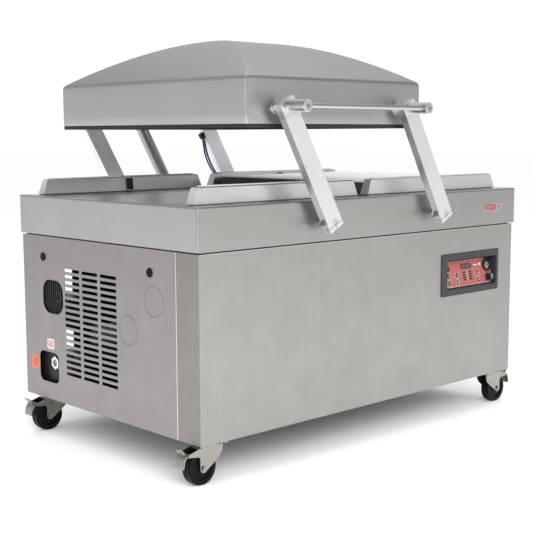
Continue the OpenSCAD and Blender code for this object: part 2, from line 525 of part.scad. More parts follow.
// height of the dome over its side at distance u from the long edge and v from the short edge
function fu(u) = dome_h*(1 - pow(1 - min(u/270, 1), 1.35));
function fv(v) = dome_h*(1 - pow(1 - min(v/460, 1), 2));
fold = 10;
// half arch from the edge to the middle; o is how far the surface stands inside the outer one
function arch(half, o, which, n) = concat(
  [for (t = [0:0.25:0.99]) let (b = which == 0 ? fu(fold) : fv(fold)) [o + pow(t, 2)*fold*0.9, (1 - t)*(1 - t)*(-fold) + t*t*b*0.9 - o]],
  [for (i = [0:n]) let (u = fold + (half - fold - o)*pow(i/n, 1.2)) [u + o*0.4*(1 - i/n), (which == 0 ? fu(u) : fv(u)) - o]]);
// full arch polygon of length 2*half whose foot is at z0
function arch_pts(half, o, which, n, z0) = let (a = arch(half, o, which, n)) concat(
  [[o, z0]], [for (q = a) [q[0], lid_side + q[1]]],
  [for (i = [len(a) - 2:-1:0]) [2*half - a[i][0], lid_side + a[i][1]]], [[2*half - o, z0]]);
module lid_solid(o, z0) intersection() {
  ext_y(o, lid_d - o) polygon(arch_pts(lid_w/2, o, 0, 12, z0));
  ext_x(o, lid_w - o) polygon(arch_pts(lid_d/2, o, 1, 14, z0));
  rrbox(o, o, lid_w - o, lid_d - o, z0, 400, 8 - o*0.6, 5);
}
module at_lid() { translate([lid_x, lid_y, lid_z]) children(); }
module lid_shell() color([0.70, 0.70, 0.71]) place() at_lid() difference() {
  lid_solid(0, 0);
  lid_solid(lid_t, -1);
}
module lid_gasket() color([0.05, 0.05, 0.055]) place() at_lid() difference() {
  rrbox(1, 1, lid_w - 1, lid_d - 1, -12, 0, 8);
  rrbox(17, 17, lid_w - 17, lid_d - 17, -13, 1, 4);
}
// hub and pin through the arm's top bore, from the lid's face outwards
module upper_pivot(x, y0, d, end) {
  translate([x, y0, top_z]) rotate([d < 0 ? 90 : -90, 0, 0]) rotate_extrude()
    polygon(concat([[0, 0], [22, 0], [22, 4], [21, 5], [15, 5], [14, 6.5], [14, 29.6], [10, 29.6]], end));
}
boss_y0 = -55.4; boss_y1 = -130; rod_y = -112;
module lid_pivots() color([0.74, 0.74, 0.73]) place() {
  for (x = [arm_xl + top_dx, arm_xr + top_dx]) {
    upper_pivot(x, lid_y, -1, [[10, 55.4], [0, 55.4]]);
    // boss that carries the handle, with its end ring and socket screw
    difference() {
      translate([x, boss_y0, top_z]) rotate([90, 0, 0]) rotate_extrude()
        polygon([[0, 0], [17, 0], [18, 1], [18, 61], [17.2, 61.6], [18, 62.2], [18, 73.4], [16.8, 74.6], [10, 74.6], [10, 72.6], [8.6, 72.6], [8.6, 74.1], [4.2, 74.1], [4.2, 70], [0, 70]]);
      cyl_x(rod_y, top_z, 8.05, x < 500 ? x + 6 : x - 26, x < 500 ? x + 26 : x - 6);
    }
    upper_pivot(x, lid_y + lid_d, 1, [[10, 55.6], [16, 55.6], [16, 59], [15, 60], [0, 60]]);
  }
  // hub and pin of the balance tube
  translate([table_w/2 + top_dx, lid_y + lid_d, top_z]) rotate([-90, 0, 0]) rotate_extrude()
    polygon([[0, 0], [34, 0], [34, 5], [33, 6], [24, 6], [20, 12], [20, 81.6], [8, 81.6], [8, 126.4], [15, 126.4], [15, 129], [14, 130], [0, 130]]);
}
module handle_rod() color([0.66, 0.65, 0.63]) place()
  cyl_x(rod_y, top_z, 8, arm_xl + top_dx + 6.5, arm_xr + top_dx - 6.5);

// sealing bars and the guides they slide on
seal_x0 = 41; seal_x1 = 713; seal_z = 50; guide_x = [151, 377, 603];
seal_v = [bar_y[0] - lid_y, lid_d - (bar_y[0] - lid_y)];
module seal_bar(v) color([0.78, 0.79, 0.80]) place() at_lid() difference() {
  union() {
    box(seal_x0, v - 15, seal_z + 3, seal_x1, v + 15, seal_z + 38);
    box(seal_x0 + 3, v - 5, seal_z, seal_x1 - 3, v + 5, seal_z + 3 + eps);
  }
  for (x = guide_x) cyl_z(x, v, 6.06, seal_z + 10, seal_z + 60);
}
module seal_bar_guides() color([0.5, 0.5, 0.52]) place() at_lid() for (v = seal_v) {
  box(lid_t + 0.1, v - 18, seal_z + 52, lid_w - lid_t - 0.1, v + 18, seal_z + 58);
  for (x = [lid_t + 0.1, lid_w - lid_t - 4.1]) box(x, v - 18, seal_z + 10, x + 4, v + 18, seal_z + 53);
  for (x = guide_x) {
    cyl_z(x, v, 6, seal_z + 18, seal_z + 53);
    cyl_z(x, v, 20, seal_z + 57, seal_z + 76);
  }
}

chassis_frame();
front_panel();
left_side_panel();
right_side_panel();
rear_panel();
panel_screws();
worktable();
counter_bars();
bar_silicones();
nozzle_blocks();
filler_plate();
pivot_brackets();
control_bezel();
control_membrane();
vacuum_gauge();
blank_badges();
vacuum_pump();
oil_sight_glass();
vacuum_manifold();
electrical_box();
cable_gland();
caster_plates();
control_knob();
key_cap(0);  // key_1
key_cap(1);  // key_2
key_cap(2);  // key_3
key_cap(3);  // key_4
key_cap(4);  // key_5
key_cap(5);  // key_6
panel_lock(lock_y[0]);  // panel_lock_front
panel_lock(lock_y[1]);  // panel_lock_rear
fork_at(0, -1);  // caster_fork_fl
fork_at(0, 1);  // caster_fork_fr
fork_at(1, -1);  // caster_fork_rl
fork_at(1, 1);  // caster_fork_rr
wheel_at(0, -1);  // caster_wheel_fl
wheel_at(0, 1);  // caster_wheel_fr
wheel_at(1, -1);  // caster_wheel_rl
wheel_at(1, 1);  // caster_wheel_rr
brake_at(0, -1);  // caster_brake_fl
brake_at(0, 1);  // caster_brake_fr
brake_at(1, -1);  // caster_brake_rl
brake_at(1, 1);  // caster_brake_rr
arm_tube(arm_xl, front_arm_y, -1);  // arm_tube_fl
arm_tube(arm_xr, front_arm_y, -1);  // arm_tube_fr
arm_tube(arm_xl, rear_arm_y, 1);  // arm_tube_rl
arm_tube(arm_xr, rear_arm_y, 1);  // arm_tube_rr
arm_block(arm_xl, front_arm_y, -1, 10.05);  // arm_block_fl
arm_block(arm_xr, front_arm_y, -1, 10.6);  // arm_block_fr
arm_block(arm_xl, rear_arm_y, 1, 10.6);  // arm_block_rl
arm_block(arm_xr, rear_arm_y, 1, 10.6);  // arm_block_rr
lid_shell();
lid_gasket();
lid_pivots();
handle_rod();
seal_bar(seal_v[0]);  // seal_bar_front
seal_bar(seal_v[1]);  // seal_bar_rear
seal_bar_guides();
balance_tube();
arm_cables();
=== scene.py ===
import json
import math
import bmesh
import bpy
from mathutils import Matrix, Vector


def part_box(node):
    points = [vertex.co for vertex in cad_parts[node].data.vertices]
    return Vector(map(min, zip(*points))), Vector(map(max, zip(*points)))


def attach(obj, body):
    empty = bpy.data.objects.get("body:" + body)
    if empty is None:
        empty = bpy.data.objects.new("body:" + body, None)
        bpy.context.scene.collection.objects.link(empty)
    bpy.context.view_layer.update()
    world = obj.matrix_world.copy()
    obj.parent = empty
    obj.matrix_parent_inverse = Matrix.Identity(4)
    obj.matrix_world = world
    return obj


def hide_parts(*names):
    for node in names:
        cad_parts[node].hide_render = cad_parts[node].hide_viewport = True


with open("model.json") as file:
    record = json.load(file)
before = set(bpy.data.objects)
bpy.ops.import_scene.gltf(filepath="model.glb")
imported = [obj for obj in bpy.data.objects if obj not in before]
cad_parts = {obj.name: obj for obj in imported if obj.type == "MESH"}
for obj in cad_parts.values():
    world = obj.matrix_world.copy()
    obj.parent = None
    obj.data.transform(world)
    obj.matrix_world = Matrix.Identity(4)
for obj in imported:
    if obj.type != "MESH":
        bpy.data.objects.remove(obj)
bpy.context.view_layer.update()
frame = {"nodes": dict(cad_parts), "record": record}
nodes = frame["nodes"]
record = frame["record"]
node_body = {n: b for b, ns in record["behaviour"]["bodies"].items() for n in ns}

# The worktable gives the drawing frame: x from its left edge, y from its front face, z from the floor, in mm.
t_lo, t_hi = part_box("worktable")
TW = round((t_hi.x - t_lo.x) * 1000, 3)
TD = round((t_hi.y - t_lo.y) * 1000, 3)
TH = round(t_hi.z * 1000, 3)


def T(x, y, z):
    return Vector((t_lo.x + x / 1000, t_lo.y + y / 1000, z / 1000))


# ------------------------------------------------------------------ materials

def new_mat(name):
    m = bpy.data.materials.new(name)
    m.use_nodes = True
    nt = m.node_tree
    nt.nodes.clear()
    out = nt.nodes.new("ShaderNodeOutputMaterial")
    bsdf = nt.nodes.new("ShaderNodeBsdfPrincipled")
    nt.links.new(bsdf.outputs[0], out.inputs[0])
    return m, nt, bsdf


def tex_coord(nt, scale=(1, 1, 1), rot=(0, 0, 0)):
    tc = nt.nodes.new("ShaderNodeTexCoord")
    mp = nt.nodes.new("ShaderNodeMapping")
    mp.inputs["Scale"].default_value = scale
    mp.inputs["Rotation"].default_value = rot
    nt.links.new(tc.outputs["Object"], mp.inputs["Vector"])
    return mp.outputs["Vector"]


def noise(nt, vec, scale, detail=3.0, rough=0.55, dist=0.0):
    n = nt.nodes.new("ShaderNodeTexNoise")
    n.inputs["Scale"].default_value = scale
    n.inputs["Detail"].default_value = detail
    n.inputs["Roughness"].default_value = rough
    n.inputs["Distortion"].default_value = dist
    nt.links.new(vec, n.inputs["Vector"])
    return n.outputs["Fac"]


def ramp(nt, fac, stops):
    r = nt.nodes.new("ShaderNodeValToRGB")
    els = r.color_ramp.elements
    while len(els) > 1:
        els.remove(els[-1])
    els[0].position, els[0].color = stops[0][0], (*stops[0][1], 1)
    for p, c in stops[1:]:
        e = els.new(p)
        e.color = (*c, 1)
    nt.links.new(fac, r.inputs["Fac"])
    return r.outputs["Color"]


def grey(v):
    return (v, v, v)


def maprange(nt, fac, a, b, lo=0.0, hi=1.0):
    m = nt.nodes.new("ShaderNodeMapRange")
    m.inputs["From Min"].default_value = lo
    m.inputs["From Max"].default_value = hi
    m.inputs["To Min"].default_value = a
    m.inputs["To Max"].default_value = b
    nt.links.new(fac, m.inputs["Value"])
    return m.outputs["Result"]


def multiply(nt, c1, c2, fac=1.0):
    m = nt.nodes.new("ShaderNodeMix")
    m.data_type = "RGBA"
    m.blend_type = "MULTIPLY"
    m.inputs["Factor"].default_value = fac
    nt.links.new(c1, m.inputs[6])
    nt.links.new(c2, m.inputs[7])
    return m.outputs[2]


def bump(nt, bsdf, fac, strength, distance, prev=None):
    b = nt.nodes.new("ShaderNodeBump")
    b.inputs["Strength"].default_value = strength
    b.inputs["Distance"].default_value = distance
    nt.links.new(fac, b.inputs["Height"])
    if prev is not None:
        nt.links.new(prev, b.inputs["Normal"])
    nt.links.new(b.outputs["Normal"], bsdf.inputs["Normal"])
    return b.outputs["Normal"]


def scaled(c, k):
    return tuple(min(1.0, max(0.0, v * k)) for v in c)


def steel(name, color, rough=0.36, along="z", streak=0.05, blotch=0.05, metal=1.0, fine=1100.0, coarse=150.0, bump_s=0.25, rot=(0, 0, 0)):
    """Satin or brushed metal: fine streaks along one axis, slow colour drift, and smears that change the gloss."""
    m, nt, b = new_mat(name)
    long_ = 2.2
    sc = {"x": (long_, 1, 1), "y": (1, long_, 1), "z": (1, 1, long_)}[along]
    sf = tuple(long_ if a == long_ else fine for a in sc)
    sc2 = tuple(long_ * 0.5 if a == long_ else coarse for a in sc)
    hair = noise(nt, tex_coord(nt, sf, rot), 1.0, 2.0, 0.6)
    band = noise(nt, tex_coord(nt, sc2, rot), 1.0, 3.0, 0.6)
    slow = noise(nt, tex_coord(nt), 2.6, 4.0, 0.6, 0.4)
    smear = noise(nt, tex_coord(nt, (1, 1, 1), rot), 11.0, 5.0, 0.65, 0.8)
    c1 = ramp(nt, hair, [(0.25, scaled(color, 1 - streak)), (0.75, scaled(color, 1 + streak))])
    c2 = ramp(nt, band, [(0.3, grey(1 - streak * 0.9)), (0.7, grey(1.0))])
    c3 = ramp(nt, slow, [(0.3, grey(1 - blotch)), (0.7, grey(1.0))])
    col = multiply(nt, multiply(nt, c1, c2), c3)
    nt.links.new(col, b.inputs["Base Color"])
    b.inputs["Metallic"].default_value = metal
    nt.links.new(maprange(nt, smear, rough - 0.05, rough + 0.07, 0.3, 0.7), b.inputs["Roughness"])
    bump(nt, b, hair, bump_s, 0.00004)
    return m


def blasted(name, color, rough=0.5, metal=1.0, blotch=0.05, bump_s=0.35):
    """Bead-blasted metal: a fine even grain with slow drift and faint horizontal drawing marks."""
    m, nt, b = new_mat(name)
    grain = noise(nt, tex_coord(nt), 1400.0, 2.0, 0.6)
    slow = noise(nt, tex_coord(nt), 3.0, 4.0, 0.6, 0.5)
    draw = noise(nt, tex_coord(nt, (3.0, 3.0, 160.0)), 1.0, 3.0, 0.6)
    c1 = ramp(nt, grain, [(0.3, scaled(color, 0.965)), (0.7, scaled(color, 1.035))])
    c2 = ramp(nt, slow, [(0.3, grey(1 - blotch)), (0.7, grey(1.0))])
    c3 = ramp(nt, draw, [(0.3, grey(0.975)), (0.7, grey(1.0))])
    nt.links.new(multiply(nt, multiply(nt, c1, c2), c3), b.inputs["Base Color"])
    b.inputs["Metallic"].default_value = metal
    nt.links.new(maprange(nt, slow, rough - 0.05, rough + 0.06, 0.3, 0.7), b.inputs["Roughness"])
    bump(nt, b, grain, bump_s, 0.00003)
    return m


def plastic(name, color, rough=0.5, grain=900.0, bump_s=0.3, vary=0.12, spec=0.5, coat=0.0):
    """Moulded plastic or rubber: a fine texture, with slow dulling and a little dust in the colour."""
    m, nt, b = new_mat(name)
    g = noise(nt, tex_coord(nt), grain, 3.0, 0.6)
    slow = noise(nt, tex_coord(nt), 18.0, 4.0, 0.6, 0.4)
    c1 = ramp(nt, slow, [(0.3, scaled(color, 1 - vary)), (0.7, scaled(color, 1 + vary))])
    c2 = ramp(nt, g, [(0.3, grey(0.93)), (0.7, grey(1.0))])
    nt.links.new(multiply(nt, c1, c2), b.inputs["Base Color"])
    nt.links.new(maprange(nt, slow, rough - 0.07, rough + 0.07, 0.3, 0.7), b.inputs["Roughness"])
    b.inputs["Specular IOR Level"].default_value = spec
    b.inputs["Coat Weight"].default_value = coat
    bump(nt, b, g, bump_s, 0.00006)
    return m


def zinc(name, color, rough=0.33):
    """Zinc plate: soft spangle, yellowish drift and small dull stains."""
    m, nt, b = new_mat(name)
    v = nt.nodes.new("ShaderNodeTexVoronoi")
    v.inputs["Scale"].default_value = 240.0
    nt.links.new(tex_coord(nt), v.inputs["Vector"])
    slow = noise(nt, tex_coord(nt), 30.0, 4.0, 0.6, 0.6)
    stain = noise(nt, tex_coord(nt), 90.0, 3.0, 0.7)
    c1 = ramp(nt, v.outputs["Color"], [(0.0, scaled(color, 0.92)), (1.0, scaled(color, 1.04))])
    c2 = ramp(nt, slow, [(0.3, (0.93, 0.90, 0.82)), (0.65, (1.0, 1.0, 1.0))])
    c3 = ramp(nt, stain, [(0.28, grey(0.75)), (0.42, grey(1.0))])
    nt.links.new(multiply(nt, multiply(nt, c1, c2), c3), b.inputs["Base Color"])
    b.inputs["Metallic"].default_value = 1.0
    nt.links.new(maprange(nt, slow, rough - 0.08, rough + 0.12, 0.3, 0.7), b.inputs["Roughness"])
    bump(nt, b, stain, 0.25, 0.0001)
    return m


M = {}
M["front"] = steel("m_front_sheet", (0.42, 0.41, 0.392), 0.46, "z", 0.035, 0.05)
# folded sides of the front sheet: the same steel painted darker, painted shade on the sheet's folded sides
M["front_fold_painted_shade"] = steel("m_front_fold", (0.33, 0.315, 0.30), 0.46, "z", 0.035, 0.05)
M["side"] = steel("m_side_sheet", (0.385, 0.362, 0.358), 0.48, "z", 0.035, 0.05)
M["rear"] = steel("m_rear_sheet", (0.40, 0.39, 0.38), 0.42, "z", 0.04, 0.06)
M["table"] = steel("m_table_plate", (0.56, 0.55, 0.538), 0.34, "x", 0.03, 0.07, fine=900, coarse=90)
M["lid"] = blasted("m_lid_shell", (0.52, 0.52, 0.525), 0.46)
# lid front painted darker and lid sides painted lighter than the top: painted shade and painted light on one blasted
# steel
M["lid_front_painted_shade"] = blasted("m_lid_front", (0.43, 0.43, 0.43), 0.44)
M["lid_side"] = blasted("m_lid_side", (0.54, 0.54, 0.54), 0.46)
# table rim: the same brushed plate with the grain along each face, the front painted darker (painted shade) and the
# sides lighter than the front (painted light)
M["rim_front_painted_shade"] = steel("m_rim_front", (0.42, 0.412, 0.398), 0.40, "x", 0.03, 0.07, fine=900, coarse=90)
M["rim_side_painted_light"] = steel("m_rim_side", (0.52, 0.515, 0.508), 0.40, "y", 0.03, 0.07, fine=900, coarse=90)
M["arm"] = steel("m_arm_aluminium", (0.80, 0.81, 0.82), 0.42, "z", 0.02, 0.03, fine=1400, rot=(0, math.radians(29), 0))
M["block"] = steel("m_end_block", (0.82, 0.825, 0.83), 0.36, "y", 0.02, 0.04, fine=1400)
M["turned"] = steel("m_turned_steel", (0.68, 0.67, 0.65), 0.34, "y", 0.03, 0.05, fine=600)
M["rod"] = steel("m_handle_rod", (0.58, 0.56, 0.53), 0.30, "x", 0.03, 0.05, fine=900)
M["bar"] = steel("m_counter_bar", (0.80, 0.81, 0.82), 0.36, "x", 0.03, 0.05, fine=900)
M["bar_end"] = steel("m_counter_bar_end", (0.93, 0.93, 0.91), 0.62, "y", 0.02, 0.03, fine=900)
M["balance"] = steel("m_balance_tube", (0.42, 0.39, 0.37), 0.34, "z", 0.04, 0.06, fine=800, rot=(0, math.radians(29), 0))
M["frame"] = plastic("m_frame_paint", (0.12, 0.125, 0.13), 0.5, 500, 0.25, 0.1)
M["silicone"] = plastic("m_silicone", (0.55, 0.53, 0.50), 0.6, 600, 0.3, 0.06)
M["gasket"] = plastic("m_gasket_rubber", (0.016, 0.016, 0.018), 0.62, 700, 0.5, 0.2, 0.35)
M["black"] = plastic("m_black_plastic", (0.014, 0.014, 0.015), 0.42, 900, 0.3, 0.15, 0.28)
M["bezel"] = plastic("m_bezel_plastic", (0.034, 0.032, 0.038), 0.45, 1100, 0.45, 0.12, 0.3)
M["lock"] = plastic("m_lock_head", (0.006, 0.006, 0.007), 0.5, 900, 0.3, 0.15, 0.12)
M["key"] = plastic("m_key_dome", (0.018, 0.018, 0.020), 0.35, 900, 0.2, 0.15, 0.3)
M["key_print"] = plastic("m_key_print", (0.62, 0.62, 0.60), 0.45, 900, 0.2, 0.06)
M["red"] = plastic("m_membrane_red", (0.36, 0.092, 0.080), 0.38, 1500, 0.25, 0.06)
M["badge"] = plastic("m_badge_plain", (0.28, 0.035, 0.04), 0.30, 500, 0.1, 0.08, 0.5, 0.5)
M["badge_rim"] = steel("m_badge_rim", (0.50, 0.495, 0.485), 0.32, "x", 0.03, 0.05)
M["label"] = plastic("m_label_orange", (0.75, 0.16, 0.08), 0.45, 800, 0.15, 0.08)
M["plate_top"] = plastic("m_plate_white", (0.66, 0.665, 0.68), 0.40, 500, 0.5, 0.03)
# near black for the body under the filling plate's top sheet: painted shade under the raised sheet
M["plate_under_shade"] = plastic("m_plate_painted_shade", (0.035, 0.035, 0.045), 0.5, 500, 0.4, 0.12)
M["pump"] = plastic("m_pump_paint", (0.012, 0.012, 0.013), 0.40, 350, 0.5, 0.15, 0.3)
M["box"] = plastic("m_box_paint", (0.42, 0.43, 0.44), 0.45, 600, 0.25, 0.06)
M["pipe"] = plastic("m_pipe_paint", (0.16, 0.165, 0.17), 0.45, 400, 0.25, 0.08)
M["zinc"] = zinc("m_zinc", (0.40, 0.39, 0.365))
M["tyre"] = plastic("m_wheel_nylon", (0.005, 0.005, 0.0055), 0.42, 300, 0.35, 0.25, 0.12)
M["hose"] = plastic("m_hose_blue", (0.025, 0.10, 0.26), 0.32, 700, 0.15, 0.1)
M["cable"] = plastic("m_cable_black", (0.018, 0.018, 0.02), 0.45, 700, 0.2, 0.15)
M["display"] = plastic("m_display", (0.026, 0.020, 0.028), 0.12, 500, 0.05, 0.2, 0.5, 0.6)
M["segment"] = plastic("m_segment", (0.13, 0.06, 0.085), 0.3, 500, 0.05, 0.1)
M["dial"] = plastic("m_dial", (0.40, 0.46, 0.47), 0.4, 700, 0.1, 0.04)
M["needle"] = plastic("m_needle", (0.02, 0.02, 0.02), 0.4, 700, 0.1, 0.1)
M["legend"] = plastic("m_legend", (0.24, 0.26, 0.29), 0.4, 900, 0.15, 0.05)
M["chrome"] = steel("m_sight_ring", (0.80, 0.80, 0.80), 0.16, "y", 0.02, 0.04)
# near-white steel for the edge beads: painted highlight lines where the edges catch the light
M["edge"] = steel("m_painted_highlight_edge", (0.90, 0.89, 0.87), 0.30, "z", 0.02, 0.03)
M["groove"] = plastic("m_score_shadow", (0.10, 0.095, 0.09), 0.7, 600, 0.2, 0.1, 0.2)
M["dark_steel"] = steel("m_screw_steel", (0.30, 0.30, 0.31), 0.35, "y", 0.05, 0.08)
M["nozzle"] = plastic("m_nozzle_tip", (0.70, 0.70, 0.68), 0.4, 700, 0.2, 0.05)
M["label_dark"] = plastic("m_label_ink", (0.30, 0.05, 0.03), 0.5, 800, 0.15, 0.08)
M["knob_face"] = plastic("m_knob_face", (0.085, 0.10, 0.105), 0.5, 900, 0.2, 0.08, 0.2)
M["label_pale"] = plastic("m_label_pale", (0.62, 0.60, 0.58), 0.45, 700, 0.1, 0.04)

# glass of the gauge and of the sight glass
gm, gnt, gb = new_mat("m_gauge_glass")
gb.inputs["Base Color"].default_value = (1, 1, 1, 1)
gb.inputs["Roughness"].default_value = 0.03
gb.inputs["Transmission Weight"].default_value = 1.0
gb.inputs["IOR"].default_value = 1.45
gfac = noise(gnt, tex_coord(gnt), 60.0, 3.0)
gnt.links.new(maprange(gnt, gfac, 0.02, 0.07, 0.3, 0.7), gb.inputs["Roughness"])
M["glass"] = gm
M["oil"] = plastic("m_oil_lens", (0.10, 0.085, 0.06), 0.12, 300, 0.05, 0.2, 0.5, 0.8)

# ------------------------------------------------------------------ mesh helpers

def link(obj):
    bpy.context.scene.collection.objects.link(obj)
    return obj


def make(name, verts, faces, mat, body, smooth=None):
    me = bpy.data.meshes.new(name)
    me.from_pydata([tuple(v) for v in verts], [], faces)
    me.update()
    bm = bmesh.new()
    bm.from_mesh(me)
    bmesh.ops.recalc_face_normals(bm, faces=bm.faces)
    bm.to_mesh(me)
    bm.free()
    ob = link(bpy.data.objects.new(name, me))
    me.materials.append(M[mat])
    if smooth is not None:
        smooth_by_angle(ob, smooth)
    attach(ob, body)
    return ob


def smooth_by_angle(ob, deg):
    me = ob.data
    me.polygons.foreach_set("use_smooth", [True] * len(me.polygons))
    bm = bmesh.new()
    bm.from_mesh(me)
    lim = math.radians(deg)
    for e in bm.edges:
        e.smooth = not (len(e.link_faces) == 2 and e.calc_face_angle(0) > lim)
    bm.to_mesh(me)
    bm.free()


def add_bevel(ob, width, seg=2, angle=40.0):
    mod = ob.modifiers.new("edge", "BEVEL")
    mod.width = width
    mod.segments = seg
    mod.limit_method = "ANGLE"
    mod.angle_limit = math.radians(angle)
    mod.harden_normals = False
    mod.use_clamp_overlap = True
    mod.miter_outer = "MITER_ARC"


def apply_mods(ob):
    dg = bpy.context.evaluated_depsgraph_get()
    me = bpy.data.meshes.new_from_object(ob.evaluated_get(dg), depsgraph=dg)
    old = ob.data
    ob.modifiers.clear()
    ob.data = me
    me.name = old.name


def by_side(ob, mats):
    """Folded sides of a sheet and the sides of other parts get their own materials, with their own grain where a face
    is brushed another way: one for the faces that look along -y/+y and one for those along -x/+x. On the lid, the front
    sheet and the table rim these are also darker and lighter copies of one colour, painted shade and painted light for
    how the light falls on each side.
    """
    me = ob.data
    first = len(me.materials)
    for m in mats:
        me.materials.append(M[m])
    for p in me.polygons:
        n = p.normal
        if abs(n.z) < 0.72:
            p.material_index = first + (0 if abs(n.y) > abs(n.x) else 1)


def weigh_normals(ob):
    """Keeps flat faces flat: the shading turns inside the small rounded edges only."""
    mod = ob.modifiers.new("weights", "WEIGHTED_NORMAL")
    mod.mode = "FACE_AREA"
    mod.weight = 50
    mod.keep_sharp = True
    apply_mods(ob)


def refine(node, mat, bevel=0.0006, seg=2, angle=40.0, smooth=32.0):
    """A finished copy of a CAD part: merged faces, small rounded edges and smooth shading where the part is round."""
    src = nodes[node]
    me = src.data.copy()
    me.name = "fin_" + node
    bm = bmesh.new()
    bm.from_mesh(me)
    bmesh.ops.remove_doubles(bm, verts=bm.verts, dist=2e-6)
    bmesh.ops.dissolve_limit(bm, angle_limit=math.radians(0.6), use_dissolve_boundaries=False, verts=bm.verts, edges=bm.edges)
    bm.to_mesh(me)
    bm.free()
    me.materials.clear()
    me.materials.append(M[mat])
    for p in me.polygons:
        p.material_index = 0
    ob = link(bpy.data.objects.new("fin_" + node, me))
    if bevel:
        add_bevel(ob, bevel, seg, angle)
        apply_mods(ob)
    smooth_by_angle(ob, smooth)
    weigh_normals(ob)
    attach(ob, node_body[node])
    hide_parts(node)
    return ob


def paint(node, mat):
    ob = nodes[node]
    ob.data.materials.clear()
    ob.data.materials.append(M[mat])
    for p in ob.data.polygons:
        p.material_index = 0


# ------------------------------------------------------------------ camera and stage

cam_data = bpy.data.cameras.new("camera")
cam = link(bpy.data.objects.new("camera", cam_data))
az, pitch, roll = math.radians(42.99), math.radians(6.99), math.radians(-0.21)
fwd = Vector((math.sin(az) * math.cos(pitch), math.cos(az) * math.cos(pitch), -math.sin(pitch)))
right = Vector((math.cos(az), -math.sin(az), 0))
up = right.cross(fwd)
r2 = math.cos(roll) * right + math.sin(roll) * up
u2 = -math.sin(roll) * right + math.cos(roll) * up
rot = Matrix((r2, u2, -fwd)).transposed()
cam.matrix_world = Matrix.Translation(T(-1838.16, -2240.72, 984.2)) @ rot.to_4x4()
cam_data.sensor_width = 36.0
cam_data.lens = 1080.0 / 533 * 36.0
cam_data.clip_end = 120
bpy.context.scene.camera = cam

sc = bpy.context.scene
sc.view_settings.view_transform = "Standard"
sc.view_settings.look = "None"

# floor
fm, fnt, fb = new_mat("m_floor")
ff = noise(fnt, tex_coord(fnt), 1.2, 3.0)
fc = ramp(fnt, ff, [(0.3, grey(0.93)), (0.7, grey(0.95))])
fnt.links.new(fc, fb.inputs["Base Color"])
fb.inputs["Roughness"].default_value = 0.75
fb.inputs["Specular IOR Level"].default_value = 0.2
fme = bpy.data.meshes.new("floor")
fme.from_pydata([(-45, -45, 0), (45, -45, 0), (45, 50, 0), (-45, 50, 0)], [], [(0, 1, 2, 3)])
floor = link(bpy.data.objects.new("floor", fme))
fme.materials.append(fm)

world = bpy.data.worlds.new("world")
sc.world = world
world.use_nodes = True
wnt = world.node_tree
wnt.nodes.clear()
wo = wnt.nodes.new("ShaderNodeOutputWorld")
bg = wnt.nodes.new("ShaderNodeBackground")
# a studio with a white wall behind the machine and greyer walls in front of it and beside it
wtc = wnt.nodes.new("ShaderNodeTexCoord")
wsep = wnt.nodes.new("ShaderNodeSeparateXYZ")
wnt.links.new(wtc.outputs["Generated"], wsep.inputs[0])


def wmath(op, a, b):
    m = wnt.nodes.new("ShaderNodeMath")
    m.operation = op
    for i, v in enumerate((a, b)):
        if isinstance(v, (int, float)):
            m.inputs[i].default_value = v
        else:
            wnt.links.new(v, m.inputs[i])
    return m.outputs[0]


toward = wmath("ADD", wmath("MULTIPLY", wsep.outputs[0], 0.68), wmath("MULTIPLY", wsep.outputs[1], 0.73))
wr = ramp(wnt, wmath("ADD", wmath("MULTIPLY", toward, 0.5), 0.5), [(0.0, (0.40, 0.395, 0.385)), (0.42, (0.48, 0.48, 0.485)), (0.56, (0.62, 0.62, 0.63)), (0.72, (0.62, 0.63, 0.65)), (0.86, (1.06, 1.06, 1.06)), (1.0, (1.08, 1.08, 1.08))])
# the walls get darker above the horizon
wz = ramp(wnt, wsep.outputs[2], [(0.0, grey(1.0)), (0.17, grey(1.0)), (0.42, grey(0.62)), (0.75, grey(0.50)), (1.0, grey(0.60))])
wnt.links.new(multiply(wnt, wr, wz), bg.inputs["Color"])
bg.inputs["Strength"].default_value = 1.0
wnt.links.new(bg.outputs[0], wo.inputs[0])


def area(name, loc, target, size, power, color=(1, 1, 1), size_y=None, fill=False):
    d = bpy.data.lights.new(name, "AREA")
    d.energy = power
    d.color = color
    d.size = size
    if size_y:
        d.shape = "RECTANGLE"
        d.size_y = size_y
    o = link(bpy.data.objects.new(name, d))
    o.location = loc
    o.rotation_euler = (Vector(target) - Vector(loc)).to_track_quat("-Z", "Y").to_euler()
    if fill:
        # lights the floor and the matt parts only, without a mirror image in the steel
        o.visible_glossy = False
    return o


area("top_box", (0.4, 0.2, 4.6), (0.2, 0, 0.6), 4.5, 50, (0.98, 0.99, 1.0), 4.5)
area("left_box", (-4.6, -0.6, 2.6), (0, 0, 0.7), 1.6, 22, (1.0, 1.0, 1.0), 1.6)
area("front_box", (1.2, -4.8, 2.6), (0.2, 0, 0.6), 1.8, 30, (1.0, 0.985, 0.96), 1.6)
area("fill_front", (-2.4, -3.9, 2.6), (0.1, -0.5, 0.0), 4.0, 170, (1.0, 1.0, 1.0), 2.4, True)
sky = bpy.data.lights.new("fill_sky", "SUN")
sky.energy = 2.5
sky.angle = math.radians(150)
sky_ob = link(bpy.data.objects.new("fill_sky", sky))
sky_ob.rotation_euler = Vector((0.30, 0.42, -1.0)).to_track_quat("-Z", "Y").to_euler()
sky_ob.visible_glossy = False

# ------------------------------------------------------------------ lid

lid_lo, lid_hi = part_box("lid_shell")
LX, LY, LZ = (lid_lo.x - t_lo.x) * 1000, (lid_lo.y - t_lo.y) * 1000, lid_lo.z * 1000
LW, LD = (lid_hi.x - lid_lo.x) * 1000, (lid_hi.y - lid_lo.y) * 1000
SIDE, DOME = 131.0, (lid_hi.z - lid_lo.z) * 1000 - 131.0


